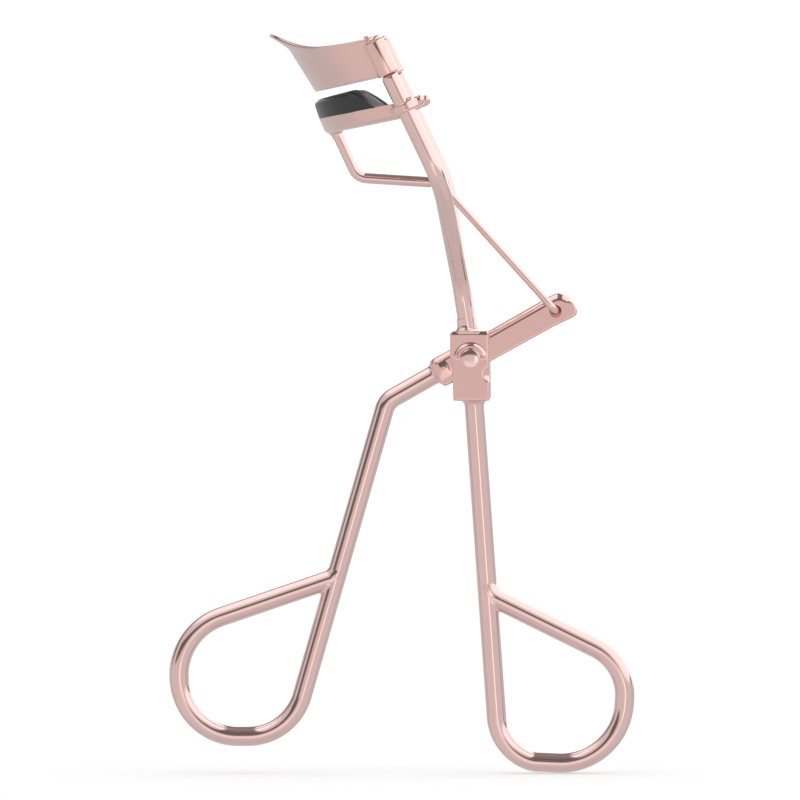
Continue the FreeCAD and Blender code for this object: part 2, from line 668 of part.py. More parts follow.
def moving_handle():
    body, meet, bar = wire_handle("moving_handle", [
        ("m_start_x", "m_start_z", None),
        ("m_elbow_x", "m_elbow_z", "m_elbow_r"),
        ("m_heel_x", "m_heel_z", "m_heel_r"),
        ("m_toe_x", "m_toe_z", "m_toe_r"),
        ("m_back_x", "m_back_z", "m_back_r"),
    ], ("m_stop_x", "m_stop_z"), ("m_join_x", "m_join_z"))
    loop_braze("moving_loop_braze", body, meet, bar)
    out = V(size("m_elbow_x") - size("m_start_x"), 0, size("m_elbow_z") - size("m_start_z")).normalize()
    mouth = out * (-size("lever_tail") + 0.02)
    lift = V(-math.sin(math.radians(size("lever_tilt"))), 0, math.cos(math.radians(size("lever_tilt"))))
    start = V(size("m_start_x"), 0, size("m_start_z"))
    mouth = mouth + lift * start.dot(lift)
    collar = cone("lever_mouth_collar", "collar_r", "wire_r + 0.04", "collar_high * 1.5",
                  at_pivot(mouth.x, 0, mouth.z), out)
    keep(cut("lever_mouth_braze", collar, body), "lever_mouth_braze")


# ----------------------------------------------------------------- lever

def lever_channel():
    body = new_body("lever_channel", size("lever_tilt"))
    outline = new_sketch(body, "lever_outline", "XZ_Plane")
    rounded_line(outline, [
        ("lever_tail", "lever_low", "cheek_corner"),
        ("lever_flare", "lever_low", None),
        ("lever_end_toe", "lever_end_low", None),
        ("lever_end", "lever_end_low", "lever_end_low_r"),
        ("lever_end", "lever_top", "lever_end_top_r"),
        ("lever_arm_start", "lever_top", None),
        ("lever_tail_end", "lever_tail_top", None),
        ("lever_tail", "lever_tail_top", "cheek_corner"),
    ], closed=True)
    extrude(body, "lever_block", outline, "lever_half * 2", both_ways=True)
    inside = new_sketch(body, "lever_inside", "XZ_Plane")
    rounded_line(inside, [
        ("lever_past_tail", "lever_below", None),
        ("lever_inner_end", "lever_below", None),
        ("lever_inner_end", "lever_under_top", "cheek_corner"),
        ("lever_arm_start", "lever_under_top", None),
        ("lever_tail_end", "lever_under_tail", None),
        ("lever_past_tail", "lever_under_tail", None),
    ], closed=True)
    extrude(body, "lever_fold", inside, "( lever_half - lever_sheet ) * 2", "PartDesign::Pocket",
            both_ways=True)
    rivet = new_sketch(body, "lever_rivet_ring", "XZ_Plane")
    circles(rivet, [(0, 0)], "rivet_r + running_gap")
    extrude(body, "lever_rivet_hole", rivet, None, "PartDesign::Pocket", both_ways=True)
    link = new_sketch(body, "lever_link_ring", "XZ_Plane")
    circles(link, [(size("link_hole_at"), 0)], "link_hole_r")
    extrude(body, "lever_link_hole", link, None, "PartDesign::Pocket", both_ways=True)


# ------------------------------------------------------------- lower jaw

def lower_jaw_channel():
    body = new_body("lower_jaw_channel")
    sections = [
        crescent(body, "trough_floor", "floor_x", "floor_z", "floor_tilt",
                 "trough_r", "trough_r", "trough_r - trough_wide", "trough_half"),
        crescent(body, "trough_brim", "brim_x", "brim_z", "brim_tilt",
                 "trough_r", "trough_r", "trough_r - trough_wide", "trough_half"),
    ]
    loft(body, "trough", sections)
    loft(body, "trough_groove", groove_sections(body, "groove"), "PartDesign::SubtractiveLoft")
    ring = FreeCAD.Placement(rail_point(size("eye_z")), FreeCAD.Rotation(V(0, 1, 0), -size("rail_lean")))
    ends = new_sketch(body, "trough_end_rings", "XY_Plane", ring)
    circles(ends, [(0, -size("rail_y")), (0, size("rail_y"))], "eye_r")
    extrude(body, "trough_ends", ends, None, "PartDesign::Pocket", both_ways=True)
    return body


def groove_sections(body, name):
    """The pad's groove, from its floor to the brim."""
    outer, inner = "trough_r - trough_wall", "trough_r - trough_wide + trough_wall"
    return [
        crescent(body, f"{name}_floor", "groove_x", "groove_z", "groove_tilt",
                 "trough_r", outer, inner, "groove_half"),
        crescent(body, f"{name}_brim", "brim_x", "brim_z", "brim_tilt",
                 "trough_r", outer, inner, "groove_half"),
    ]


def silicone_pad():
    body = new_body("silicone_pad")
    loft(body, "pad_root", groove_sections(body, "pad_root"))
    sections = [
        crescent(body, "pad_base", "brim_x", "brim_z", "brim_tilt",
                 "trough_r", "trough_r - 0.05", "trough_r - trough_wide + 0.1", "pad_base_half"),
        crescent(body, "pad_side", "pad_side_x", "pad_side_z", "edge_tilt",
                 "trough_r", "trough_r", "trough_r - trough_wide + 0.3", "pad_side_half"),
        crescent(body, "pad_crown", "pad_crown_x", "pad_crown_z", "edge_tilt",
                 "trough_r", "trough_r - 0.8", "trough_r - trough_wide + 0.9", "pad_crown_half"),
    ]
    loft(body, "pad_strip", sections)


def slide_eye(label, side):
    middle = rail_point(size("eye_z"))
    middle = at_pivot(middle.x, side * size("rail_y"), middle.z)
    foot = middle - RAIL_UP * size("eye_high") * 0.5
    band = cylinder(f"{label}_band", "eye_r", "eye_high", foot, RAIL_UP)
    knob = doc.addObject("Part::Sphere", f"{label}_knob")
    bind(knob, "Radius", "knob_r * 1 mm")
    knob.Placement.Base = middle + V(RAIL_UP.z, 0, -RAIL_UP.x) * size("knob_out")
    blank = fuse(f"{label}_blank", [band, knob])
    bore_foot = middle - RAIL_UP * size("eye_high") * 2
    bore = cylinder(f"{label}_bore", "rail_r + running_gap", "eye_high * 4", bore_foot, RAIL_UP)
    keep(cut(label, blank, bore), label)


def bow_strut(trough):
    tilt = math.radians(size("floor_tilt"))
    top_z = size("floor_z") + (size("strut_top_x") - size("floor_x")) * math.tan(tilt)
    top = at_pivot(size("strut_top_x"), 0, top_z)
    bend = at_pivot(size("strut_bend_x"), 0, size("strut_bend_z"))
    hook = at_pivot(size("hook_x"), 0, size("hook_z"))
    end = hook + (bend - hook).normalize() * (size("strut_eye_r") - size("strut_dia") * 0.2)
    wire = bent_wire("bow_strut", [top, bend, end], [size("strut_bend_r")], "strut_dia")
    half = V(0, size("strut_eye_thick") / 2, 0)
    disc = cylinder("strut_disc", "strut_eye_r", "strut_eye_thick", hook - half, V(0, 1, 0))
    blank = fuse("strut_blank", [wire, disc])
    bore = cylinder("strut_bore", "link_dia * 0.5 + running_gap", "strut_eye_thick * 3",
                    hook - half * 3, V(0, 1, 0))
    drilled = cut("strut_drilled", blank, bore)
    strut = keep(cut("bow_strut", drilled, trough), "bow_strut")
    down = V(math.sin(tilt), 0, -math.cos(tilt))
    lump = cone("strut_braze_cone", "strut_dia * 0.88", "strut_dia * 0.62", "strut_dia * 0.5", top, down)
    keep(cut("strut_braze", lump, strut), "strut_braze")


# ------------------------------------------------------------------ link

def link_rod():
    hook_x, hook_z, plane = size("hook_x"), size("hook_z"), size("link_y")
    tilt = math.radians(size("lever_tilt"))
    hole_x = size("link_hole_at") * math.cos(tilt)
    hole_z = size("link_hole_at") * math.sin(tilt)
    route = [
        at_pivot(hook_x, size("link_top_y"), hook_z),
        at_pivot(hook_x, plane, hook_z),
        at_pivot(hole_x, plane, hole_z),
        at_pivot(hole_x, size("link_low_y"), hole_z),
    ]
    wire = bent_wire("link_rod", route, [size("link_bend")] * 2, "link_dia")
    thick = V(0, size("link_head_thick"), 0)
    heads = [cylinder(f"link_head_{i}", "link_head_r", "link_head_thick", end - thick, V(0, 1, 0))
             for i, end in enumerate((route[0], route[-1]))]
    keep(fuse("link_rod", [wire] + heads), "link_rod")


# ----------------------------------------------------------------- build

upper_jaw_plate()
for rail_label, rail_side in (("near_side_rail", FRONT), ("far_side_rail", REAR)):
    side_rail(rail_label, rail_side)
bracket_cheek("front_bracket_plate", FRONT)
bracket_cheek("rear_bracket_plate", REAR)
bracket_spacer()
pivot_rivet()
fixed_handle()
lever_channel()
moving_handle()
trough_body = lower_jaw_channel()
silicone_pad()
slide_eye("near_slide_eye", FRONT)
slide_eye("far_slide_eye", REAR)
bow_strut(trough_body)
link_rod()
doc.recompute()

for item in doc.Objects:
    if "Invalid" in item.State or "Error" in item.State:
        raise RuntimeError(f"{item.Name}: {item.State}")
os.makedirs("parts", exist_ok=True)
for item in PARTS:
    shape = item.Shape
    if shape.isNull() or not shape.isValid() or not shape.Solids:
        raise RuntimeError(f"{item.Label} has no valid solid")
    shape.exportStep(f"parts/{item.Label}.step")
    print(f"{item.Label}: {len(shape.Solids)} solid, {shape.Volume:.2f} mm3")
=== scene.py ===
import json
import math

import bpy
import numpy as np
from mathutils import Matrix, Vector


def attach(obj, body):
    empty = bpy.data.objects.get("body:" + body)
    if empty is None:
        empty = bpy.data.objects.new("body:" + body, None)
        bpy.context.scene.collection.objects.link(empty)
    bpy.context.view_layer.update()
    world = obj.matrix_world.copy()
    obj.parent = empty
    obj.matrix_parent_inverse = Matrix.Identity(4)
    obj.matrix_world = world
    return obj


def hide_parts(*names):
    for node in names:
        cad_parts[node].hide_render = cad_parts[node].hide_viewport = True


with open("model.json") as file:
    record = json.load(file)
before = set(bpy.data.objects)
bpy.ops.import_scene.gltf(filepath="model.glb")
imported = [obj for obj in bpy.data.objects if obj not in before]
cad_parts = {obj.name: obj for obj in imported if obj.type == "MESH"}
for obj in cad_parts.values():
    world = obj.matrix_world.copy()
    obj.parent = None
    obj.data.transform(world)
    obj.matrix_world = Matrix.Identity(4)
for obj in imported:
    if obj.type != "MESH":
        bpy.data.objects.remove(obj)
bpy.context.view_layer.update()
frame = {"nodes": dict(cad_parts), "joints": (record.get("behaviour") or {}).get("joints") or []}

# An eyelash curler of polished rose-gold wire and sheet, with a dark silicone pad.
# All shapes below are in mm from the pivot rivet's axis, as in the CAD source:
# X across the handles, Y across the jaws (negative is the near side), Z up.

lever_joint = next(j for j in frame["joints"] if j["name"] == "lever_swing")
PIVOT = np.array(lever_joint["pos_m"], float) * 1000
NEAR, FAR = -1, 1


# ------------------------------------------------------------------ camera

CAMERA_AZIMUTH = math.radians(1.5)
CAMERA_ELEVATION = math.radians(0.8)
CAMERA_TARGET = Vector((-0.0002, 0.0, 0.0529))
CAMERA_DISTANCE = 3.0
CAMERA_SENSOR, CAMERA_LENS = 36.0, 951.5
CAMERA_CLIP = 0.05

camera_data = bpy.data.cameras.new("camera")
camera_data.sensor_width = CAMERA_SENSOR
camera_data.lens = CAMERA_LENS
camera_data.clip_start = CAMERA_CLIP
camera = bpy.data.objects.new("camera", camera_data)
bpy.context.collection.objects.link(camera)
away = Vector((math.sin(CAMERA_AZIMUTH) * math.cos(CAMERA_ELEVATION),
               -math.cos(CAMERA_AZIMUTH) * math.cos(CAMERA_ELEVATION),
               math.sin(CAMERA_ELEVATION)))
camera.location = CAMERA_TARGET + away * CAMERA_DISTANCE
camera.rotation_mode = "QUATERNION"
camera.rotation_quaternion = (-away).to_track_quat("-Z", "Y")
bpy.context.scene.camera = camera
bpy.context.scene.view_settings.view_transform = "Standard"


# --------------------------------------------------------------- materials

# noise scales are in features per metre
TINT_SCALE, MARK_SCALE, WAVE_SCALE = 90, 900, 420
BLOOM_SCALE, GRAIN_SCALE = 160, 3200
NOISE_LOW, NOISE_HIGH = 0.3, 0.7
RAMP_START, RAMP_STOP = 0.35, 0.65
MARK_STRETCH = (1, 1, 0.12)
EDGE_TINT, EDGE_BLEND = (0.86, 0.76, 0.75, 1), 0.32
SMOOTHEST = 0.035


def new_material(name):
    """A node material, with its nodes, links, shader and texture coordinates."""
    material = bpy.data.materials.new(name)
    material.use_nodes = True
    nodes, links = material.node_tree.nodes, material.node_tree.links
    shader = nodes["Principled BSDF"]
    coords = nodes.new("ShaderNodeTexCoord")
    return material, nodes, links, shader, coords


def noise(nodes, links, coords, scale, detail=2.0, stretch=(1, 1, 1)):
    """A noise value in the object's own coordinates."""
    mapping = nodes.new("ShaderNodeMapping")
    mapping.inputs["Scale"].default_value = stretch
    links.new(coords.outputs["Object"], mapping.inputs["Vector"])
    texture = nodes.new("ShaderNodeTexNoise")
    texture.inputs["Scale"].default_value = scale
    texture.inputs["Detail"].default_value = detail
    links.new(mapping.outputs["Vector"], texture.inputs["Vector"])
    return texture.outputs["Fac"]


def spread(nodes, links, value, low, high):
    """A noise value stretched to the range low to high."""
    ranged = nodes.new("ShaderNodeMapRange")
    ranged.inputs["From Min"].default_value = NOISE_LOW
    ranged.inputs["From Max"].default_value = NOISE_HIGH
    ranged.inputs["To Min"].default_value = low
    ranged.inputs["To Max"].default_value = high
    links.new(value, ranged.inputs["Value"])
    return ranged.outputs["Result"]


def ramp(nodes, links, value, low, high):
    """A colour between two, by a noise value."""
    colours = nodes.new("ShaderNodeValToRGB")
    colours.color_ramp.elements[0].position = RAMP_START
    colours.color_ramp.elements[1].position = RAMP_STOP
    colours.color_ramp.elements[0].color = (*low, 1)
    colours.color_ramp.elements[1].color = (*high, 1)
    links.new(value, colours.inputs["Fac"])
    return colours.outputs["Color"]


def bump(nodes, links, shader, value, strength, distance):
    """Raises the shader's surface by a noise value; distance is in metres."""
    node = nodes.new("ShaderNodeBump")
    node.inputs["Strength"].default_value = strength
    node.inputs["Distance"].default_value = distance
    links.new(value, node.inputs["Height"])
    links.new(node.outputs["Normal"], shader.inputs["Normal"])


def plated_metal(name, low, high, roughest=0.085):
    """Polished rose-gold plating: a drift of tint, paler at grazing angles, fine marks and a soft wave."""
    material, nodes, links, shader, coords = new_material(name)
    shader.inputs["Metallic"].default_value = 1.0
    drift = noise(nodes, links, coords, TINT_SCALE)
    tint = ramp(nodes, links, drift, low, high)
    edge = nodes.new("ShaderNodeLayerWeight")
    edge.inputs["Blend"].default_value = EDGE_BLEND
    paler = nodes.new("ShaderNodeMix")
    paler.data_type = "RGBA"
    links.new(edge.outputs["Facing"], paler.inputs["Factor"])
    links.new(tint, paler.inputs["A"])
    paler.inputs["B"].default_value = EDGE_TINT
    links.new(paler.outputs["Result"], shader.inputs["Base Color"])
    marks = noise(nodes, links, coords, MARK_SCALE, 4.0, MARK_STRETCH)
    links.new(spread(nodes, links, marks, SMOOTHEST, roughest), shader.inputs["Roughness"])
    bump(nodes, links, shader, noise(nodes, links, coords, WAVE_SCALE, 3.0), 0.05, 0.0001)
    return material


def silicone(name):
    """Moulded silicone: satin, nearly black, with a fine grain and a little dust-like bloom."""
    material, nodes, links, shader, coords = new_material(name)
    bloom = noise(nodes, links, coords, BLOOM_SCALE, 5.0)
    tint = ramp(nodes, links, bloom, (0.012, 0.0125, 0.014), (0.019, 0.0195, 0.021))
    links.new(tint, shader.inputs["Base Color"])
    grain = noise(nodes, links, coords, GRAIN_SCALE)
    links.new(spread(nodes, links, grain, 0.24, 0.34), shader.inputs["Roughness"])
    bump(nodes, links, shader, grain, 0.05, 0.00002)
    return material


WIRE_METAL = plated_metal("rose_gold_wire", (0.880, 0.605, 0.570), (0.905, 0.625, 0.588))
SHEET_METAL = plated_metal("rose_gold_sheet", (0.885, 0.560, 0.505), (0.905, 0.578, 0.522), 0.10)
BRAZE_METAL = plated_metal("rose_gold_braze", (0.880, 0.595, 0.555), (0.905, 0.620, 0.580), 0.12)
SILICONE = silicone("black_silicone")


# ------------------------------------------------------------ mesh helpers

def add_piece(name, points, faces, body, material, replaced, normals=None):
    """A smooth mesh piece from points in mm from the pivot, which stands for the replaced CAD nodes."""
    mesh = bpy.data.meshes.new(name)
    metres = (np.asarray(points, float) + PIVOT) / 1000
    mesh.from_pydata(metres.tolist(), [], [list(map(int, face)) for face in faces])
    mesh.polygons.foreach_set("use_smooth", [True] * len(mesh.polygons))
    mesh.materials.append(material)
    mesh.update()
    if normals is not None:
        mesh.normals_split_custom_set_from_vertices(normals.tolist())
    piece = bpy.data.objects.new(name, mesh)
    bpy.context.collection.objects.link(piece)
    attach(piece, body)
    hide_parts(*replaced)


def unit(vector):
    """A vector, or each of many, at a length of 1."""
    vector = np.asarray(vector, float)
    return vector / np.linalg.norm(vector, axis=-1, keepdims=True)


def between(value, low, high):
    """0 below low, 1 above high, and smooth in between."""
    t = np.clip((value - low) / (high - low), 0, 1)
    return t * t * (3 - 2 * t)


LONGEST_PIECE = 0.8


def bent_line(points, radii, step=0.035):
    """Points along straight runs joined by tangent arcs; step is the arcs' spacing in radians."""
    points = [np.asarray(p, float) for p in points]
    line = [points[0]]
    for before, corner, after, radius in zip(points, points[1:], points[2:], radii):
        back, on = unit(before - corner), unit(after - corner)
        opening = math.acos(float(np.clip(back @ on, -1, 1)))
        centre = corner + unit(back + on) * (radius / math.sin(opening / 2))
        start = corner + back * (radius / math.tan(opening / 2))
        u = unit(start - centre)
        turn = math.pi - opening
        w = -back
        count = max(int(turn / step), 2)
        for i in range(count + 1):
            angle = turn * i / count
            line.append(centre + radius * (u * math.cos(angle) + w * math.sin(angle)))
    line.append(points[-1])
    filled = [line[0]]
    for a, b in zip(line, line[1:]):
        pieces = max(int(np.linalg.norm(b - a) / LONGEST_PIECE), 1)
        filled.extend(a + (b - a) * k / pieces for k in range(1, pieces + 1))
    return np.array(filled)


# a wire's edge is rounded at its ends over this much of its radius, and the rest is flat
END_ROUNDING = 0.45


def tube(line, radius, sides=48):
    """Points and faces of a round tube along a line, with rounded ends."""
    tangents = np.gradient(line, axis=0)
    tangents[0], tangents[-1] = line[1] - line[0], line[-1] - line[-2]
    tangents = unit(tangents)
    rounding = np.linspace(math.pi / 2, 0, 7)[:-1]
    depth = END_ROUNDING * (1 - np.sin(rounding))[:, None]
    narrow = 1 - END_ROUNDING + END_ROUNDING * np.cos(rounding)
    first, last = radius * tangents[0], radius * tangents[-1]
    radii = radius * np.concatenate([narrow, np.ones(len(line)), narrow[::-1]])
    line = np.vstack([line[0] + depth * first, line[0] + END_ROUNDING * first, line[1:-1],
                      line[-1] - END_ROUNDING * last, line[-1] - depth[::-1] * last])
    tangents = np.vstack([[tangents[0]] * len(narrow), tangents, [tangents[-1]] * len(narrow)])
    side = unit(np.cross(tangents[0], (0.31, 0.95, 0.12)))
    rings = []
    turn = np.linspace(0, 2 * math.pi, sides, endpoint=False)
    for spot, tangent, r in zip(line, tangents, radii):
        side = unit(side - tangent * (side @ tangent))
        up = np.cross(tangent, side)
        rings.append(spot + r * (np.cos(turn)[:, None] * side + np.sin(turn)[:, None] * up))
    return rings_to_mesh(rings)


def rings_to_mesh(rings, close_ends=True):
    """Joins equal rings of points into quads, and closes each end with a fan."""
    count, sides = len(rings), len(rings[0])
    points = np.vstack(rings)
    faces = []
    for i in range(count - 1):
        for j in range(sides):
            k = (j + 1) % sides
            faces.append((i * sides + j, i * sides + k, (i + 1) * sides + k, (i + 1) * sides + j))
    if close_ends:
        points = np.vstack([points, rings[0].mean(axis=0), rings[-1].mean(axis=0)])
        low, high = count * sides, count * sides + 1
        for j in range(sides):
            k = (j + 1) % sides
            faces.append((low, k, j))
            faces.append((high, (count - 1) * sides + j, (count - 1) * sides + k))
    return points, faces


# --------------------------------------------------------- distance fields

def smooth_min(a, b, k):
    """The smaller of two distances, with a fillet about k wide where they are alike."""
    h = np.maximum(k - np.abs(a - b), 0) / k
    return np.minimum(a, b) - h * h * k * 0.25


def smooth_max(a, b, k):
    """The larger of two distances, with the edge eased over about k."""
    return -smooth_min(-a, -b, k)


def round_and(a, b, radius):
    """Inside both, with the edge where they meet rounded to that radius."""
    a, b = a + radius, b + radius
    return np.minimum(np.maximum(a, b), 0) + np.hypot(np.maximum(a, 0), np.maximum(b, 0)) - radius


def capsule(x, y, z, start, end, radius):
    """Distance to a straight wire with round ends."""
    run = end - start
    px, py, pz = x - start[0], y - start[1], z - start[2]
    t = np.clip((px * run[0] + py * run[1] + pz * run[2]) / (run @ run), 0, 1)
    return np.sqrt((px - t * run[0]) ** 2 + (py - t * run[1]) ** 2 + (pz - t * run[2]) ** 2) - radius


def ball(x, y, z, centre, radius):
    """Distance to a ball."""
    return np.sqrt((x - centre[0]) ** 2 + (y - centre[1]) ** 2 + (z - centre[2]) ** 2) - radius


def polygon_distance(u, v, corners):
    """Distance to a flat outline, negative inside it."""
    nearest = np.full(np.shape(u), np.inf)
    inside = np.zeros(np.shape(u), bool)
    for a, b in zip(corners, np.roll(corners, -1, axis=0)):
        run = b - a
        pu, pv = u - a[0], v - a[1]
        t = np.clip((pu * run[0] + pv * run[1]) / (run @ run), 0, 1)
        nearest = np.minimum(nearest, (pu - t * run[0]) ** 2 + (pv - t * run[1]) ** 2)
        if b[1] != a[1]:
            inside ^= ((a[1] > v) != (b[1] > v)) & (u < run[0] * pv / run[1] + a[0])
    return np.where(inside, -1, 1) * np.sqrt(nearest)


SLOPE_STEP = 0.01
AXES = np.eye(3, dtype=int)


def cell_points(values, low, step):
    """A point in each cell that the surface crosses, at its crossings' mean, and the cells' numbers."""
    inside = values < 0
    total = np.zeros([count - 1 for count in values.shape], np.int8)
    for i, j, k in np.ndindex(2, 2, 2):
        total += inside[i:total.shape[0] + i, j:total.shape[1] + j, k:total.shape[2] + k]
    active = (total > 0) & (total < 8)
    cells = np.argwhere(active)
    index = np.full(active.shape, -1, np.int64)
    index[active] = np.arange(len(cells))
    spots = np.zeros((len(cells), 3))
    hits = np.zeros(len(cells))
    for axis in range(3):
        along, u, v = AXES[axis], AXES[(axis + 1) % 3], AXES[(axis + 2) % 3]
        for corner in (0 * u, u, v, u + v):
            start = cells + corner
            a, b = values[tuple(start.T)], values[tuple((start + along).T)]
            crossed = (a < 0) != (b < 0)
            t = a[crossed] / (a[crossed] - b[crossed])
            spots[crossed] += start[crossed] + t[:, None] * along
            hits[crossed] += 1
    return low + step * spots / hits[:, None], index


def cell_faces(inside, index):
    """A quad round each grid edge that the surface crosses, turned to face outward."""
    faces = []
    for axis in range(3):
        one, two = (axis + 1) % 3, (axis + 2) % 3
        u, v = AXES[one], AXES[two]
        last = inside.shape[axis] - 1
        a = np.take(inside, range(last), axis=axis)
        b = np.take(inside, range(1, last + 1), axis=axis)
        nodes = np.argwhere(a != b)
        keep = (nodes[:, one] > 0) & (nodes[:, two] > 0)
        keep &= (nodes[:, one] < inside.shape[one] - 1) & (nodes[:, two] < inside.shape[two] - 1)
        nodes = nodes[keep]
        quads = np.stack([index[tuple((nodes - u - v).T)], index[tuple((nodes - v).T)],
                          index[tuple(nodes.T)], index[tuple((nodes - u).T)]], axis=1)
        inward = ~a[tuple(nodes.T)]
        quads[inward] = quads[inward][:, ::-1]
        faces.append(quads)
    return np.vstack(faces)


def skin(field, low, high, step):
    """Points, faces and normals of a closed mesh on the zero surface of a distance field."""
    low = np.asarray(low, float)
    grid = [a + step * np.arange(int(math.ceil((b - a) / step)) + 1) for a, b in zip(low, high)]
    values = field(*np.meshgrid(*grid, indexing="ij"))
    points, index = cell_points(values, low, step)
    faces = cell_faces(values < 0, index)

    def slope(p):
        """The field's gradient at each point."""
        steps = np.eye(3) * SLOPE_STEP
        return np.stack([(field(*(p + d).T) - field(*(p - d).T)) / (2 * SLOPE_STEP) for d in steps], axis=1)

    def settle(p):
        """Moves points along the field's slope, each time by at most 0.6 of a grid step."""
        for _ in range(2):
            g = slope(p)
            size = np.maximum((g * g).sum(axis=1), 0.05)
            move = g * (field(*p.T) / size)[:, None]
            length = np.linalg.norm(move, axis=1, keepdims=True)
            p = p - move * np.minimum(1, 0.6 * step / np.maximum(length, 1e-9))
        return p

    points = settle(points)
    for _ in range(2):
        # half way to the middle of each point's neighbours, and back to the surface
        total = np.zeros_like(points)
        share = np.zeros(len(points))
        for i in range(4):
            np.add.at(total, faces[:, i], points[faces[:, (i + 1) % 4]] + points[faces[:, i - 1]])
            np.add.at(share, faces[:, i], 2)
        points = settle(points + 0.5 * (total / share[:, None] - points))
    return points, faces, unit(slope(points))


def add_skin(label, field, low, high, step, body, material):
    """A piece on the zero surface of a distance field, which stands for the CAD node of its own name."""
    points, faces, normals = skin(field, low, high, step)
    add_piece(label, points, faces, body, material, [label], normals)


def outline(corners, radii, steps=5):
    """A closed flat outline with each corner rounded by its own radius."""
    corners = [np.asarray(c, float) for c in corners]
    spots = []
    for i, (corner, radius) in enumerate(zip(corners, radii)):
        back = unit(corners[i - 1] - corner)
        on = unit(corners[(i + 1) % len(corners)] - corner)
        opening = math.acos(float(np.clip(back @ on, -1, 1)))
        inset = radius / math.tan(opening / 2)
        centre = corner + unit(back + on) * (radius / math.sin(opening / 2))
        u, turn = unit(corner + back * inset - centre), math.pi - opening
        for k in range(steps + 1):
            angle = turn * k / steps
            spots.append(centre + radius * (u * math.cos(angle) - back * math.sin(angle)))
    return np.array(spots)


def outline_distance(u, v, corners, radii):
    """Distance to a flat outline whose corners are rounded by their own radii."""
    return polygon_distance(u, v, outline(corners, radii, 4))


def turned(profile, base, direction, sides=48, closed=True):
    """A solid of revolution: profile is a list of (radius, height) along a direction from a base point.

    A closed profile goes round a ring's section, and an open one runs from tip to tip."""
    direction = unit(direction)
    side = unit(np.cross(direction, (0.3, 0.9, 0.2)))
    other = np.cross(direction, side)
    turn = np.linspace(0, 2 * math.pi, sides, endpoint=False)
    circle = np.cos(turn)[:, None] * side + np.sin(turn)[:, None] * other
    rings = [np.asarray(base, float) + direction * height + radius * circle for radius, height in profile]
    if closed:
        rings.append(rings[0])
    return rings_to_mesh(rings, close_ends=not closed)


def hollow_ring(outer, inner, start, stop, rounding):
    """Profile of a ring with rounded edges."""
    return outline([(outer, start), (outer, stop), (inner, stop), (inner, start)], [rounding] * 4)


def along_axis(x, y, z, base, direction):
    """Height along an axis and distance from it."""
    px, py, pz = x - base[0], y - base[1], z - base[2]
    height = px * direction[0] + py * direction[1] + pz * direction[2]
    off = np.sqrt(np.maximum(px * px + py * py + pz * pz - height * height, 0))
    return height, off


def around(spots, margin):
    """The lowest and highest corner of a box round some points."""
    spots = np.asarray(spots, float)
    return spots.min(axis=0) - margin, spots.max(axis=0) + margin


# ------------------------------------------------------------------- rails

RAIL_R = 1.225
RAIL_LEAN = math.radians(25.5)
RAIL_UP = np.array([-math.sin(RAIL_LEAN), 0, math.cos(RAIL_LEAN)])
RAIL_RIGHT = np.array([math.cos(RAIL_LEAN), 0, math.sin(RAIL_LEAN)])
RAIL_Y, NECK_Y = 17.0, 3.05
RAIL_FOOT_X = -0.3
NECK = np.array([-1.35, 0, 10.2])
SHOULDER = np.array([-3.85, 0, 24.8])
NECK_BEND, SHOULDER_BEND = 6.0, 8.5
SLEEVE_LONG, SLEEVE_R = 5.1, 1.52
TIP_R = 1.05
CHEEK_IN, CHEEK_OUT = 2.1, 4.4
CHEEK_LEFT, CHEEK_RIGHT = -2.9, 2.62
CHEEK_FOOT, CHEEK_TOP = -5.97, 3.9

# a braze's skin lies this far inside the wire and sheet that it joins, so that only its fillet shows
BRAZE_INSET = 0.012

# (radius, height) above the sleeve: the peened head with its punch mark, then the thinner end in the sleeve
RAIL_HEAD = [(0.0, 0.42), (0.28, 0.45), (0.5, 0.58), (0.75, 0.62), (1.0, 0.56), (1.2, 0.40), (1.3, 0.2),
             (1.27, 0.06), (TIP_R, 0.0), (TIP_R, -SLEEVE_LONG + 0.3)]


def rail_point(z):
    """The point at a height on the straight upper part of a rail's axis, at the middle of the width."""
    return SHOULDER + RAIL_UP * ((z - SHOULDER[2]) / RAIL_UP[2])


def off_cheek(y, side):
    """Distance from a cheek's nearer face, negative inside its sheet."""
    return np.abs(y - side * (CHEEK_IN + CHEEK_OUT) / 2) - (CHEEK_OUT - CHEEK_IN) / 2


SLEEVE_FOOT = rail_point(40.3)


def side_rail(label, side):
    """A side rail with its peened head, and the braze that holds it on its bracket plate."""
    across = np.array([0, side * RAIL_Y, 0])
    foot = np.array([RAIL_FOOT_X, side * NECK_Y, CHEEK_TOP - 0.4])
    neck = NECK + (0, side * NECK_Y, 0)
    wire_end = SLEEVE_FOOT + across
    line = bent_line([foot, neck, SHOULDER + across, wire_end], [NECK_BEND, SHOULDER_BEND])
    points, faces = tube(line, RAIL_R)
    add_piece(label, points, faces, "frame", WIRE_METAL, [label])
    points, faces = turned(RAIL_HEAD, wire_end + RAIL_UP * SLEEVE_LONG, RAIL_UP, 40, closed=False)
    add_piece(label + "_head", points, faces, "frame", WIRE_METAL, [label])

    spot = np.array([RAIL_FOOT_X, side * NECK_Y, CHEEK_TOP + 0.3])

    def fillet(x, y, z):
        rail = capsule(x, y, z, foot - (0, 0, 2), neck, RAIL_R)
        sides = np.maximum(CHEEK_LEFT - x, x - CHEEK_RIGHT)
        plate = round_and(sides, np.maximum(off_cheek(y, side), z - CHEEK_TOP), 0.3)
        grip = 0.02 + 0.9 * between(z, CHEEK_TOP - 0.25, CHEEK_TOP + 0.2)
        return round_and(smooth_min(rail, plate, grip) + BRAZE_INSET, ball(x, y, z, spot, 2.15), 0.1)

    name = label.replace("_side_rail", "_rail_braze")
    add_skin(name, fillet, *around([spot], 2.3), 0.08, "frame", BRAZE_METAL)


side_rail("near_side_rail", NEAR)
side_rail("far_side_rail", FAR)


# --------------------------------------------------------------- upper jaw

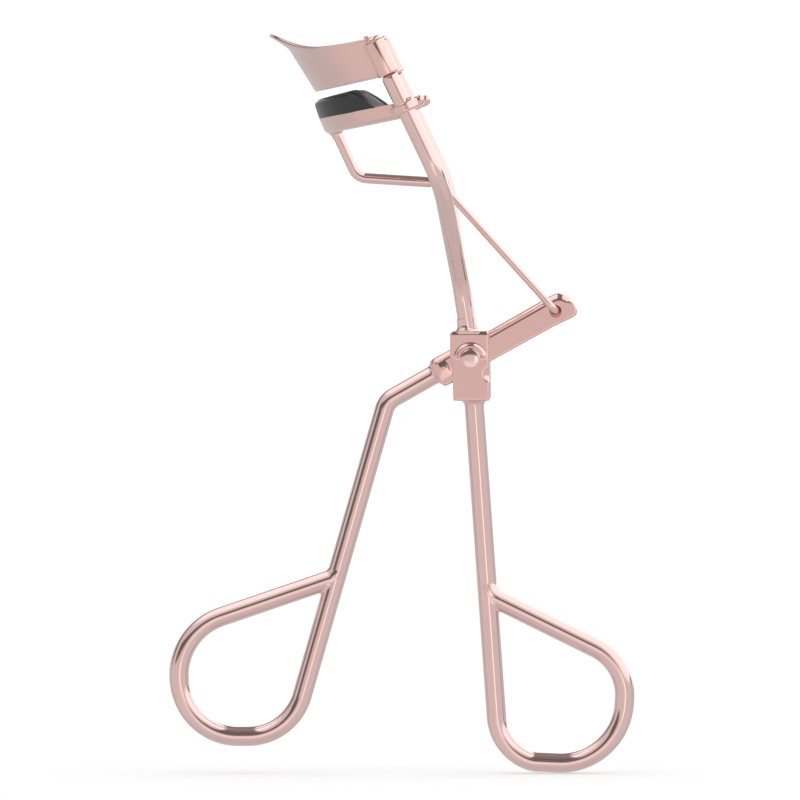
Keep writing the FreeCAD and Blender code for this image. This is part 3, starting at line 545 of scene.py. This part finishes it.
EDGE = np.array([-22.1, 0, 37.8])
EDGE_TILT = math.radians(13.2)
EDGE_R = 18.1
JAW_HALF = 17.0

# the plate's height and lip: what they are at its ends, what the middle adds, and how wide the middle is
END_HIGH, CREST_HIGH, CREST_WIDE = 4.85, 2.95, 7.6
END_LIP, CREST_LIP = 0.7, 1.2
END_FLARE, CREST_FLARE, FLARE_WIDE = 0.1, 1.5, 6.2
PLATE_SLOPE, END_STEEPER, END_AT = math.tan(math.radians(32)), 0.148, 16.3
PLATE_THICK, PLATE_TAPER = 0.66, 0.10
CORNER = np.array([-14.35, 15.9, 45.1])

# (radius, height) of the small curl at each upper corner of the plate
CORNER_CURL = [(0.0, 0.62), (0.3, 0.6), (0.46, 0.44), (0.46, 0.3), (0.34, 0.16), (0.3, -0.5), (0.0, -0.6)]


def jaw_plate():
    """The pressing plate: a thin curved sheet, leaning outward, with a lip flared over its middle."""
    across = JAW_HALF * np.sin(np.linspace(-1, 1, 121) * math.pi / 2)
    rise = np.linspace(0, 1, 33)
    outer = np.zeros((len(across), len(rise), 3))
    for i, y in enumerate(across):
        inset = EDGE_R - math.sqrt(EDGE_R ** 2 - y ** 2)
        foot = EDGE + (inset * math.cos(EDGE_TILT), y, inset * math.sin(EDGE_TILT))
        crest = math.exp(-(y / CREST_WIDE) ** 2)
        slope = PLATE_SLOPE - END_STEEPER * min(abs(y) / END_AT, 1) ** 4
        high = END_HIGH + CREST_HIGH * crest
        flare = CREST_FLARE * math.exp(-(y / FLARE_WIDE) ** 2) + END_FLARE
        lip = END_LIP + CREST_LIP * crest
        for j, t in enumerate(rise):
            up = high * t
            out = flare * max(0.0, (up - high + lip) / lip) ** 1.3
            outer[i, j] = foot + (-slope * up - out, 0, up)
    tangent_y = np.gradient(outer, axis=0)
    tangent_z = np.gradient(outer, axis=1)
    normal = unit(np.cross(tangent_y, tangent_z))
    normal *= np.sign(normal[:, :1, :1])
    inner = outer + normal * (PLATE_THICK - PLATE_TAPER * rise[None, :, None] ** 3)

    def sheet_edge(a, b, bulge):
        """Points round an edge from one face of the sheet to the other."""
        middle, reach = (a + b) / 2, (a - b) / 2
        bulge = bulge * np.linalg.norm(reach)
        angles = math.pi * np.arange(1, 8)[:, None] / 8
        return middle + reach * np.cos(angles) + bulge * np.sin(angles) * 0.8

    rings = []
    for i in range(len(across)):
        lip_edge = sheet_edge(outer[i, -1], inner[i, -1], unit(tangent_z[i, -1]))
        lower_edge = sheet_edge(inner[i, 0], outer[i, 0], -0.15 * unit(tangent_z[i, 0]))
        rings.append(np.vstack([outer[i], lip_edge, inner[i][::-1], lower_edge]))
    points, faces = rings_to_mesh(rings)
    add_piece("upper_jaw_plate", points, faces, "frame", SHEET_METAL, ["upper_jaw_plate"])


def jaw_end(label, side):
    """The sleeve that the plate's end makes round a rail, and the small curl at the plate's corner."""
    section = hollow_ring(SLEEVE_R, TIP_R + 0.02, 0, SLEEVE_LONG, 0.18)
    points, faces = turned(section, SLEEVE_FOOT + (0, side * RAIL_Y, 0), RAIL_UP, 56)
    add_piece(label + "_sleeve", points, faces, "frame", SHEET_METAL, ["upper_jaw_plate"])
    points, faces = turned(CORNER_CURL, CORNER * (1, side, 1), (-0.1, 0, 1), 24, closed=False)
    add_piece(label + "_corner_curl", points, faces, "frame", SHEET_METAL, ["upper_jaw_plate"])


jaw_plate()
jaw_end("near_jaw", NEAR)
jaw_end("far_jaw", FAR)


# ----------------------------------------------------------------- handles

WIRE_R = 1.375


def flat(corners):
    """Points in the middle plane from pairs of X and Z."""
    return [np.array([x, 0.0, z]) for x, z in corners]


def loop_handle(label, braze, body, corners, radii, join, shank_run, crook):
    """A handle bent from one wire, whose last run, the bar, closes the loop on its shank with braze."""
    spots = flat(corners + [join])
    points, faces = tube(bent_line(spots, radii), WIRE_R, 96)
    add_piece(label, points, faces, body, WIRE_METAL, [label])
    shank_top, shank_foot = spots[shank_run:shank_run + 2]
    bar_start, meeting = spots[-2:]
    down = unit(shank_foot - shank_top)
    along_bar = unit(bar_start - meeting)
    off_shank = unit(bar_start - meeting - down * (down @ (bar_start - meeting)))
    # the bar's own end stops short inside the shank, and a bend of braze turns from it up the shank
    bar_end = meeting + along_bar * 1.7
    half = math.acos(-down @ along_bar) / 2
    to_corner = -unit(along_bar - down)
    centre = meeting - to_corner * crook / math.sin(half)

    def fillet(x, y, z):
        shank = capsule(x, y, z, shank_top, shank_foot, WIRE_R)
        bar = capsule(x, y, z, bar_start, bar_end, WIRE_R)
        off = np.hypot(x - centre[0], z - centre[2])
        facing = ((x - centre[0]) * to_corner[0] + (z - centre[2]) * to_corner[2]) / np.maximum(off, 1e-6)
        turned_by = np.arccos(np.clip(facing, -1, 1)) / (math.pi / 2 - half)
        bend = np.where(turned_by < 1, np.hypot(off - crook, y) - WIRE_R, 10.0)
        easing = 0.02 + 0.22 * np.maximum(1 - turned_by ** 2, 0) ** 2
        joined = smooth_min(smooth_min(shank, bar, 0.5), bend, easing)
        return round_and(joined + BRAZE_INSET, ball(x, y, z, meeting + off_shank, 4.2), 0.1)

    middle = meeting + off_shank * 1.4
    reach = np.array([3.9, 2.0, 4.2])
    add_skin(braze, fillet, middle - reach, middle + reach, 0.11, body, BRAZE_METAL)


# the corners of each handle as (X, Z), and the radius of its bend at each corner but the first and last
FIXED_START, FIXED_HEEL = (0.2, -3.3), (3.89, -55.04)
MOVING_START, MOVING_ELBOW = (-2.6, -0.75), (-12.0, -6.1)
loop_handle("fixed_handle", "fixed_loop_braze", "frame",
            [FIXED_START, FIXED_HEEL, (8.56, -57.23), (21.1, -57.77), (22.14, -43.28)],
            [7.1, 4.4, 9.0, 7.5], (2.36, -33.54), 0, 3.3)
loop_handle("moving_handle", "moving_loop_braze", "lever",
            [MOVING_START, MOVING_ELBOW, (-25.65, -53.63), (-38.9, -53.66), (-44.02, -39.57)],
            [3.0, 8.0, 8.3, 8.8], (-19.18, -31.08), 1, 2.3)


# ----------------------------------------------------------------- bracket

SLOT_X, SLOT_Z = -2.48, -0.3
CHEEK_OUTLINE = [(CHEEK_LEFT, CHEEK_TOP), (CHEEK_LEFT, 0.1), (SLOT_X, SLOT_Z), (SLOT_X, CHEEK_FOOT),
                 (2.77, CHEEK_FOOT), (CHEEK_RIGHT, CHEEK_TOP)]
CHEEK_ROUNDING = [0.45, 0.2, 0.2, 0.6, 0.6, 0.45]
ARCH_Z, ARCH_R, BEAD_R = -0.1, 1.85, 0.34
BEVEL_SLOPE, BEVEL_DEEP, BEVEL_SCALE = 0.2, 0.38, 1.02
NICK, NICK_R = (2.9, -2.2), 1.5
RIVET_R, RIVET_HEAD_R = 0.8, 1.42


def cheek(x, y, z, side):
    """A bracket plate: an arched bead pressed up over the rivet, a bevelled top and a nick in one edge."""
    plate = round_and(outline_distance(x, z, CHEEK_OUTLINE, CHEEK_ROUNDING), off_cheek(y, side), 0.3)
    off_arch = np.hypot(np.hypot(x, z - ARCH_Z) - ARCH_R, np.maximum(0.5 - z, 0))
    bead = np.hypot(off_arch, y - side * (CHEEK_OUT - 0.06)) - BEAD_R
    plate = smooth_min(plate, bead, 0.3)
    bevel = np.abs(y) - CHEEK_OUT + BEVEL_SLOPE * (z - CHEEK_TOP + BEVEL_DEEP)
    plate = smooth_max(plate, bevel / BEVEL_SCALE, 0.06)
    nick = ball(x, y, z, (NICK[0], side * (CHEEK_OUT + 1.1), NICK[1]), NICK_R)
    return smooth_max(plate, -nick, 0.2)


def bracket_plate(label, side):
    """One cheek of the bracket."""
    low = (-3.1, min(side * CHEEK_IN, side * (CHEEK_OUT + 0.5)) - 0.15, CHEEK_FOOT - 0.2)
    high = (3.0, max(side * CHEEK_IN, side * (CHEEK_OUT + 0.5)) + 0.15, CHEEK_TOP + 0.2)
    add_skin(label, lambda x, y, z: cheek(x, y, z, side), low, high, 0.085, "frame", SHEET_METAL)


def pivot_rivet():
    """The lever's axle, with a low domed head on each side."""
    dome = np.linspace(0, 1.5, 14)
    head = [(RIVET_HEAD_R * math.sin(t), 0.14 + 0.30 * math.sqrt(math.cos(t))) for t in dome]
    head += [(1.38, 0.02), (1.3, -0.06), (RIVET_R, -0.1)]
    profile = [(r, h + CHEEK_OUT) for r, h in head] + [(r, -h - CHEEK_OUT) for r, h in head[::-1]]
    points, faces = turned(profile, (0, 0, 0), (0, 1, 0), 48, closed=False)
    add_piece("pivot_rivet", points, faces, "frame", WIRE_METAL, ["pivot_rivet"])


def fixed_handle_braze():
    """The braze where the fixed handle comes out of the bracket's foot."""
    start, heel = flat([FIXED_START, FIXED_HEEL])
    mouth = start + (heel - start) * ((CHEEK_FOOT - start[2]) / (heel[2] - start[2]))

    def fillet(x, y, z):
        sides = np.maximum(SLOT_X - x, x - 2.7)
        block = round_and(sides, np.maximum(np.abs(y) - CHEEK_OUT, CHEEK_FOOT - z), 0.4)
        joined = smooth_min(capsule(x, y, z, start, heel, WIRE_R), block, 0.9) + BRAZE_INSET
        return round_and(joined, ball(x, y, z, mouth, 2.1), 0.1)

    add_skin("fixed_handle_braze", fillet, *around([mouth], 2.2), 0.09, "frame", BRAZE_METAL)


bracket_plate("front_bracket_plate", NEAR)
bracket_plate("rear_bracket_plate", FAR)
pivot_rivet()
fixed_handle_braze()


# ------------------------------------------------------------------- lever

# the lever's outlines are in its own axes from the pivot: along it, and over it
LEVER_TILT = math.radians(29.54)
LEVER_OUTLINE = [(-5.4, -1.65), (3.0, -1.75), (12.6, -1.85), (15.2, -2.05), (16.6, -2.05),
                 (16.6, 2.2), (4.3, 2.2), (-1.5, 2.6), (-5.4, 2.6)]
LEVER_ROUNDING = [0.6, 2.0, 2.0, 1.0, 1.0, 2.2, 2.0, 2.0, 0.9]
LEVER_INSIDE = np.array([(-7.0, -3.5), (16.0, -3.5), (16.0, 1.6), (4.3, 1.6), (-1.5, 2.0), (-7.0, 2.0)])
LEVER_HALF, LEVER_SHEET = 2.0, 0.6
LINK_HOLE_AT, LINK_HOLE_R = 13.79, 0.83
RIVET_HOLE_R = 0.86
WIRE_END, ELBOW = flat([MOVING_START, MOVING_ELBOW])
TAIL_OUT = unit(ELBOW - WIRE_END)
CRIMP_R, CRIMP_MIDDLE, CRIMP_HALF = 1.95, 1.75, 1.0

# the columns are the lever's own axes: along it, across it and over it
LEVER_TURN = np.array([[math.cos(LEVER_TILT), 0, -math.sin(LEVER_TILT)], [0, 1, 0],
                       [math.sin(LEVER_TILT), 0, math.cos(LEVER_TILT)]])


def lever_field(a, y, b):
    """The lever in its own axes: a folded channel with two holes, its tail squeezed round the wire."""
    x = a * math.cos(LEVER_TILT) - b * math.sin(LEVER_TILT)
    z = a * math.sin(LEVER_TILT) + b * math.cos(LEVER_TILT)
    fold = 0.28 + 0.82 * between(b, -0.4, 0.6)
    outside = round_and(outline_distance(a, b, LEVER_OUTLINE, LEVER_ROUNDING), np.abs(y) - LEVER_HALF, fold)
    height, off = along_axis(x, y, z, WIRE_END, TAIL_OUT)
    crimp = round_and(off - CRIMP_R, np.abs(height - CRIMP_MIDDLE) - CRIMP_HALF, 0.45)
    hollow = np.maximum(polygon_distance(a, b, LEVER_INSIDE), np.abs(y) - LEVER_HALF + LEVER_SHEET)
    shell = smooth_max(smooth_min(outside, crimp, 0.5), -hollow, 0.12)
    wire = capsule(x, y, z, WIRE_END, WIRE_END + (ELBOW - WIRE_END) * 2, WIRE_R)
    shell = smooth_max(shell, -(wire - 0.02), 0.1)
    shell = smooth_max(shell, LINK_HOLE_R - np.hypot(a - LINK_HOLE_AT, b), 0.1)
    return smooth_max(shell, RIVET_HOLE_R - np.hypot(a, b), 0.05)


def lever_channel():
    """The lever, whose skin is made in its own axes so that its long sides lie along the grid."""
    points, faces, normals = skin(lever_field, (-6.2, -2.4, -2.6), (16.9, 2.4, 3.0), 0.11)
    add_piece("lever_channel", points @ LEVER_TURN.T, faces, "lever", SHEET_METAL,
              ["lever_channel"], normals @ LEVER_TURN.T)


def lever_mouth_braze():
    """The braze where the moving handle's wire comes out of the lever's squeezed tail."""
    mouth = WIRE_END + TAIL_OUT * (CRIMP_MIDDLE + CRIMP_HALF)

    def fillet(x, y, z):
        height, off = along_axis(x, y, z, mouth, TAIL_OUT)
        rim = round_and(off - CRIMP_R, np.abs(height + 0.6) - 0.6, 0.3)
        joined = smooth_min(capsule(x, y, z, WIRE_END, ELBOW, WIRE_R), rim, 0.8) + BRAZE_INSET
        return round_and(joined, np.maximum(-0.15 - height, ball(x, y, z, mouth, 2.0)), 0.08)

    add_skin("lever_mouth_braze", fillet, *around([mouth], 2.1), 0.09, "lever", BRAZE_METAL)


lever_channel()
lever_mouth_braze()


# --------------------------------------------------------------- lower jaw

# the trough's floor and brim are planes tilted about Y, each through its outermost point
TROUGH_R, TROUGH_WIDE, TROUGH_WALL = 18.0, 3.0, 0.5
FLOOR, FLOOR_TILT = np.array([-20.6, 0, 31.8]), math.radians(12.0)
BRIM, BRIM_TILT = np.array([-21.6, 0, 34.0]), math.radians(11.0)
TROUGH_HALF = 16.6
GROOVE_END, GROOVE_STOP = 13.6, 14.4
EYE = rail_point(35.6)
EYE_MIDDLE_R, EYE_HALF_SHEET, EYE_HALF_HIGH = 1.67, 0.385, 0.7
KNOB_R, BURR_R = 0.74, 0.36
RUNNING_GAP = 0.06
PAD_HALF, PAD_HIGH, PAD_CROWN = 15.2, 2.05, 0.52
PAD_TOP = np.array([-22.22, 0, 36.05])
# the pad is full up to a distance from its middle, then fades, but never until its outline is a line
PAD_FULL, PAD_FADE, MOST_FADED = 12.5, 2.7, 0.999999


def on_crescent(apex, tilt, radius, angle):
    """Point of a curved band lying in a plane tilted about Y through its apex."""
    across = TROUGH_R - radius * math.cos(angle)
    return apex + (across * math.cos(tilt), radius * math.sin(angle), across * math.sin(tilt))


def trough():
    """The pad's channel: a curved, rounded trough whose floor and brim lie in two tilted planes."""
    half = math.asin(TROUGH_HALF / TROUGH_R)
    rings = []
    for angle in np.linspace(-half, half, 121):
        deep = 1 - between(abs(TROUGH_R * math.sin(angle)), GROOVE_END, GROOVE_STOP)
        high = np.linalg.norm(on_crescent(BRIM, BRIM_TILT, TROUGH_R, angle)
                              - on_crescent(FLOOR, FLOOR_TILT, TROUGH_R, angle))
        low = high - (high - 0.5) * deep - 0.14 * (1 - deep)
        section = outline([(0, 0), (0, high), (TROUGH_WALL, high), (TROUGH_WALL + 0.05, low),
                           (TROUGH_WIDE - TROUGH_WALL - 0.05, low), (TROUGH_WIDE - TROUGH_WALL, high),
                           (TROUGH_WIDE, high), (TROUGH_WIDE, 0)],
                          [0.62, 0.13, 0.02 + 0.11 * deep, 0.02, 0.02, 0.02 + 0.11 * deep, 0.13, 0.5])
        ring = []
        for inward, up in section:
            low_spot = on_crescent(FLOOR, FLOOR_TILT, TROUGH_R - inward, angle)
            high_spot = on_crescent(BRIM, BRIM_TILT, TROUGH_R - inward, angle)
            ring.append(low_spot + (high_spot - low_spot) * (up / high))
        rings.append(np.array(ring))
    points, faces = rings_to_mesh(rings)
    add_piece("lower_jaw_channel", points, faces, "lower_jaw", SHEET_METAL, ["lower_jaw_channel"])


def pad():
    """The silicone strip: satin, crowned across and rounded off at both ends."""
    half = math.asin(PAD_HALF / TROUGH_R)
    rings = []
    for angle in np.linspace(-half, half, 161):
        y = abs(TROUGH_R * math.sin(angle))
        full = 1 - np.clip((y - PAD_FULL) / PAD_FADE, 0, MOST_FADED) ** 1.9
        high = PAD_HIGH * full + 0.03
        crown = PAD_CROWN * full
        section = outline([(0.05, -0.3), (-0.02, high), (0.8, high + crown), (1.5, high + crown * 1.12),
                           (2.2, high + crown * 0.95), (2.8, high), (2.9, -0.3)],
                          [0.01, 0.42 * full + 0.004, 0.5 * full + 0.004, 1.2 * full + 0.004,
                           0.5 * full + 0.004, 0.28 * full + 0.004, 0.01], 6)
        base = on_crescent(BRIM, BRIM_TILT, TROUGH_R, angle)
        rise = (on_crescent(PAD_TOP, EDGE_TILT, TROUGH_R, angle) - base) / PAD_HIGH
        inward = unit((math.cos(angle), -math.sin(angle), 0))
        inward = inward + (0, 0, math.cos(angle) * math.sin(BRIM_TILT))
        rings.append(np.array([base + rise * up + inward * across for across, up in section]))
    points, faces = rings_to_mesh(rings)
    add_piece("silicone_pad", points, faces, "lower_jaw", SILICONE, ["silicone_pad"])


def slide_eye(label, side):
    """The eye that slides on a rail: a rounded band, with a rolled knob and a small burr."""
    middle = EYE + (0, side * RAIL_Y, 0)
    tail = middle + RAIL_RIGHT * 2.3
    burr = middle + RAIL_RIGHT * 1.15 + RAIL_UP * 0.75 + (0, side * 0.9, 0)

    def field(x, y, z):
        height, off = along_axis(x, y, z, middle, RAIL_UP)
        wall = np.abs(off - EYE_MIDDLE_R) - EYE_HALF_SHEET
        band = round_and(wall, np.abs(height) - EYE_HALF_HIGH, 0.3)
        lumps = np.minimum(ball(x, y, z, tail, KNOB_R), ball(x, y, z, burr, BURR_R))
        joined = smooth_min(band, lumps, 0.45)
        return smooth_max(joined, RAIL_R + RUNNING_GAP - off, 0.06)

    add_skin(label, field, *around([middle, tail, burr], 2.3), 0.09, "lower_jaw", SHEET_METAL)


STRUT_R, LINK_R = 0.75, 0.5
STRUT_IN = 1.35
STRUT_BEND = np.array([-16.15, 0, 25.65])
HOOK = np.array([-4.4, 0, 24.9])
HOOK_EYE_R, HOOK_EYE_HALF = 1.3, 0.55
LINK_AT_Y = -2.9
LINK_HEAD_R, LINK_HEAD_HALF = 0.85, 0.2


def bow_strut():
    """The wire from under the jaw back to the middle, with an eye at its end, and the braze under the jaw."""
    top = FLOOR + (STRUT_IN, 0, STRUT_IN * math.tan(FLOOR_TILT))
    end = HOOK + unit(STRUT_BEND - HOOK) * 1.15
    points, faces = tube(bent_line([top + (0, 0, 0.2), STRUT_BEND, end], [2.2]), STRUT_R, 40)
    add_piece("bow_strut", points, faces, "lower_jaw", WIRE_METAL, ["bow_strut"])
    section = hollow_ring(HOOK_EYE_R, LINK_R + RUNNING_GAP, -HOOK_EYE_HALF, HOOK_EYE_HALF, 0.2)
    points, faces = turned(section, HOOK, (0, 1, 0), 48)
    add_piece("bow_strut_eye", points, faces, "lower_jaw", WIRE_METAL, ["bow_strut"])

    def fillet(x, y, z):
        under = (z - FLOOR[2]) * math.cos(FLOOR_TILT) - (x - FLOOR[0]) * math.sin(FLOOR_TILT)
        sheet = round_and(-under, ball(x, y, z, top + (0.4, 0, 0), 2.0), 0.2)
        joined = smooth_min(capsule(x, y, z, top, STRUT_BEND, STRUT_R), sheet, 0.7) + BRAZE_INSET
        return round_and(joined, np.maximum(ball(x, y, z, top + (0.2, 0, 0), 1.2), under - 0.2), 0.08)

    add_skin("strut_braze", fillet, *around([top], 1.7), 0.07, "lower_jaw", BRAZE_METAL)


def link_rod():
    """The thin rod from the strut's eye to the lever's hole, hooked and upset at both ends."""
    hole = LINK_HOLE_AT * np.array([math.cos(LEVER_TILT), 0, math.sin(LEVER_TILT)])
    sideways = np.array([0, LINK_AT_Y, 0])
    route = [HOOK + (0, 1.0, 0), HOOK + sideways, hole + sideways, hole + (0, 2.6, 0)]
    points, faces = tube(bent_line(route, [1.0, 1.0], 0.1), LINK_R + 0.02, 32)
    add_piece("link_rod", points, faces, "link", WIRE_METAL, ["link_rod"])
    head = outline([(0.0, -LINK_HEAD_HALF), (LINK_HEAD_R, -LINK_HEAD_HALF),
                    (LINK_HEAD_R, LINK_HEAD_HALF), (0.0, LINK_HEAD_HALF)], [0.01, 0.17, 0.17, 0.01])
    for label, end in (("link_rod_upper_head", route[0]), ("link_rod_lower_head", route[-1])):
        points, faces = turned(head, end - (0, 0.05, 0), (0, 1, 0), 32)
        add_piece(label, points, faces, "link", WIRE_METAL, ["link_rod"])


trough()
pad()
slide_eye("near_slide_eye", NEAR)
slide_eye("far_slide_eye", FAR)
bow_strut()
link_rod()


# ------------------------------------------------------------------- stage

FLOOR_HALF = 3.0
FLOOR_DROP = 0.00005
FLOOR_GREY, FLOOR_ROUGHNESS = 0.93, 0.9
STUDIO_LEVEL = 1.12


def pale_floor():
    """A matt floor just under the finger loops, which the metal doesn't reflect."""
    mesh = bpy.data.meshes.new("floor")
    corners = [(-1, -1, 0), (1, -1, 0), (1, 1, 0), (-1, 1, 0)]
    mesh.from_pydata([(FLOOR_HALF * x, FLOOR_HALF * y, z) for x, y, z in corners], [], [(0, 1, 2, 3)])
    floor = bpy.data.objects.new("floor", mesh)
    floor.location.z = -FLOOR_DROP
    bpy.context.collection.objects.link(floor)
    material = bpy.data.materials.new("pale_floor")
    material.use_nodes = True
    shader = material.node_tree.nodes["Principled BSDF"]
    shader.inputs["Base Color"].default_value = (FLOOR_GREY, FLOOR_GREY, FLOOR_GREY, 1)
    shader.inputs["Roughness"].default_value = FLOOR_ROUGHNESS
    mesh.materials.append(material)
    floor.visible_glossy = False


def studio_light():
    """Even white light from all round."""
    world = bpy.data.worlds.new("studio")
    world.use_nodes = True
    background = world.node_tree.nodes["Background"]
    background.inputs["Color"].default_value = (1, 1, 1, 1)
    background.inputs["Strength"].default_value = STUDIO_LEVEL
    bpy.context.scene.world = world


def window(value, low, high, soft):
    """1 between low and high, 0 outside, and smooth over soft each side of both."""
    return between(value, low - soft, low + soft) * (1 - between(value, high - soft, high + soft))


def tent_glow(x, y, z, el, az):
    """Brightness of the tent in a direction, given as a unit vector and in degrees: panels and dark gaps."""
    strip = window(az, 5, 16, 3) * window(el, -6, 5, 3)
    front_panel = window(az, -14, 17, 4) * window(el, -23, -3, 3) * (1 - strip)
    back_panel = np.maximum(window(az % 360, 125, 192, 6) * between(el, 3, 8),
                            window(az % 360, 166, 192, 4) * between(el, -1, 2))
    left_gap = between(-az, 92, 102) * window(el - 24 + (az + 115) * 0.6, -8, 8, 3)
    right_gap = window(az, 100, 125, 5) * window(el, 9, 16, 2)
    top_gap = window(x, -0.19, 0.19, 0.04) * between(z, 0.38, 0.48)
    panels = [(0.62, between(-z, 0.45, 0.95)),
              (1.22, between(z, 0.60, 0.85)),
              (0.0, 0.78 * window(el, 7, 25, 2.5) * window(az, -62, 15, 7)),
              (1.28, window(az, 30, 125, 10) * window(el, 12, 60, 5)),
              (1.36, strip),
              (0.98, front_panel),
              (1.30, back_panel),
              (0.0, 0.85 * np.maximum(np.maximum(left_gap, right_gap), 0.95 * top_gap))]
    glow = 0.60 + 0.12 * between(-y, -0.5, 0.4)
    for level, share in panels:
        glow = glow + (level - glow) * share
    return glow


TENT_RADIUS = 2.5
TENT_ROWS, TENT_COLUMNS = 181, 361


def tent_material():
    """A material that gives out the brightness stored at the tent's points."""
    material = bpy.data.materials.new("tent_panels")
    material.use_nodes = True
    nodes, links = material.node_tree.nodes, material.node_tree.links
    nodes.remove(nodes["Principled BSDF"])
    glow = nodes.new("ShaderNodeAttribute")
    glow.attribute_name = "glow"
    emission = nodes.new("ShaderNodeEmission")
    links.new(glow.outputs["Color"], emission.inputs["Color"])
    links.new(emission.outputs["Emission"], nodes["Material Output"].inputs["Surface"])
    material.cycles.emission_sampling = "NONE"
    return material


def light_tent():
    """A large round tent of soft panels and dark gaps, which only the polished metal reflects."""
    el, az = np.meshgrid(np.linspace(-90, 90, TENT_ROWS), np.linspace(-180, 180, TENT_COLUMNS), indexing="ij")
    x = np.cos(np.radians(el)) * np.sin(np.radians(az))
    y = -np.cos(np.radians(el)) * np.cos(np.radians(az))
    z = np.sin(np.radians(el))
    mesh = bpy.data.meshes.new("light_tent")
    spots = np.stack([x, y, z], axis=-1).reshape(-1, 3) * TENT_RADIUS
    corners = np.arange(spots.shape[0]).reshape(TENT_ROWS, TENT_COLUMNS)
    faces = np.stack([corners[:-1, :-1], corners[:-1, 1:], corners[1:, 1:], corners[1:, :-1]], axis=-1)
    mesh.from_pydata(spots.tolist(), [], faces.reshape(-1, 4).tolist())
    levels = mesh.color_attributes.new("glow", "FLOAT_COLOR", "POINT")
    colours = np.repeat(tent_glow(x, y, z, el, az).reshape(-1, 1), 4, axis=1)
    colours[:, 3] = 1
    levels.data.foreach_set("color", colours.ravel())
    mesh.materials.append(tent_material())
    tent = bpy.data.objects.new("light_tent", mesh)
    bpy.context.collection.objects.link(tent)
    tent.visible_camera = False
    tent.visible_diffuse = False
    tent.visible_shadow = False
    tent.visible_transmission = False


pale_floor()
studio_light()
light_tent()

# the block between the bracket's cheeks keeps its CAD shape
frame["nodes"]["bracket_spacer"].data.materials.clear()
frame["nodes"]["bracket_spacer"].data.materials.append(SHEET_METAL)
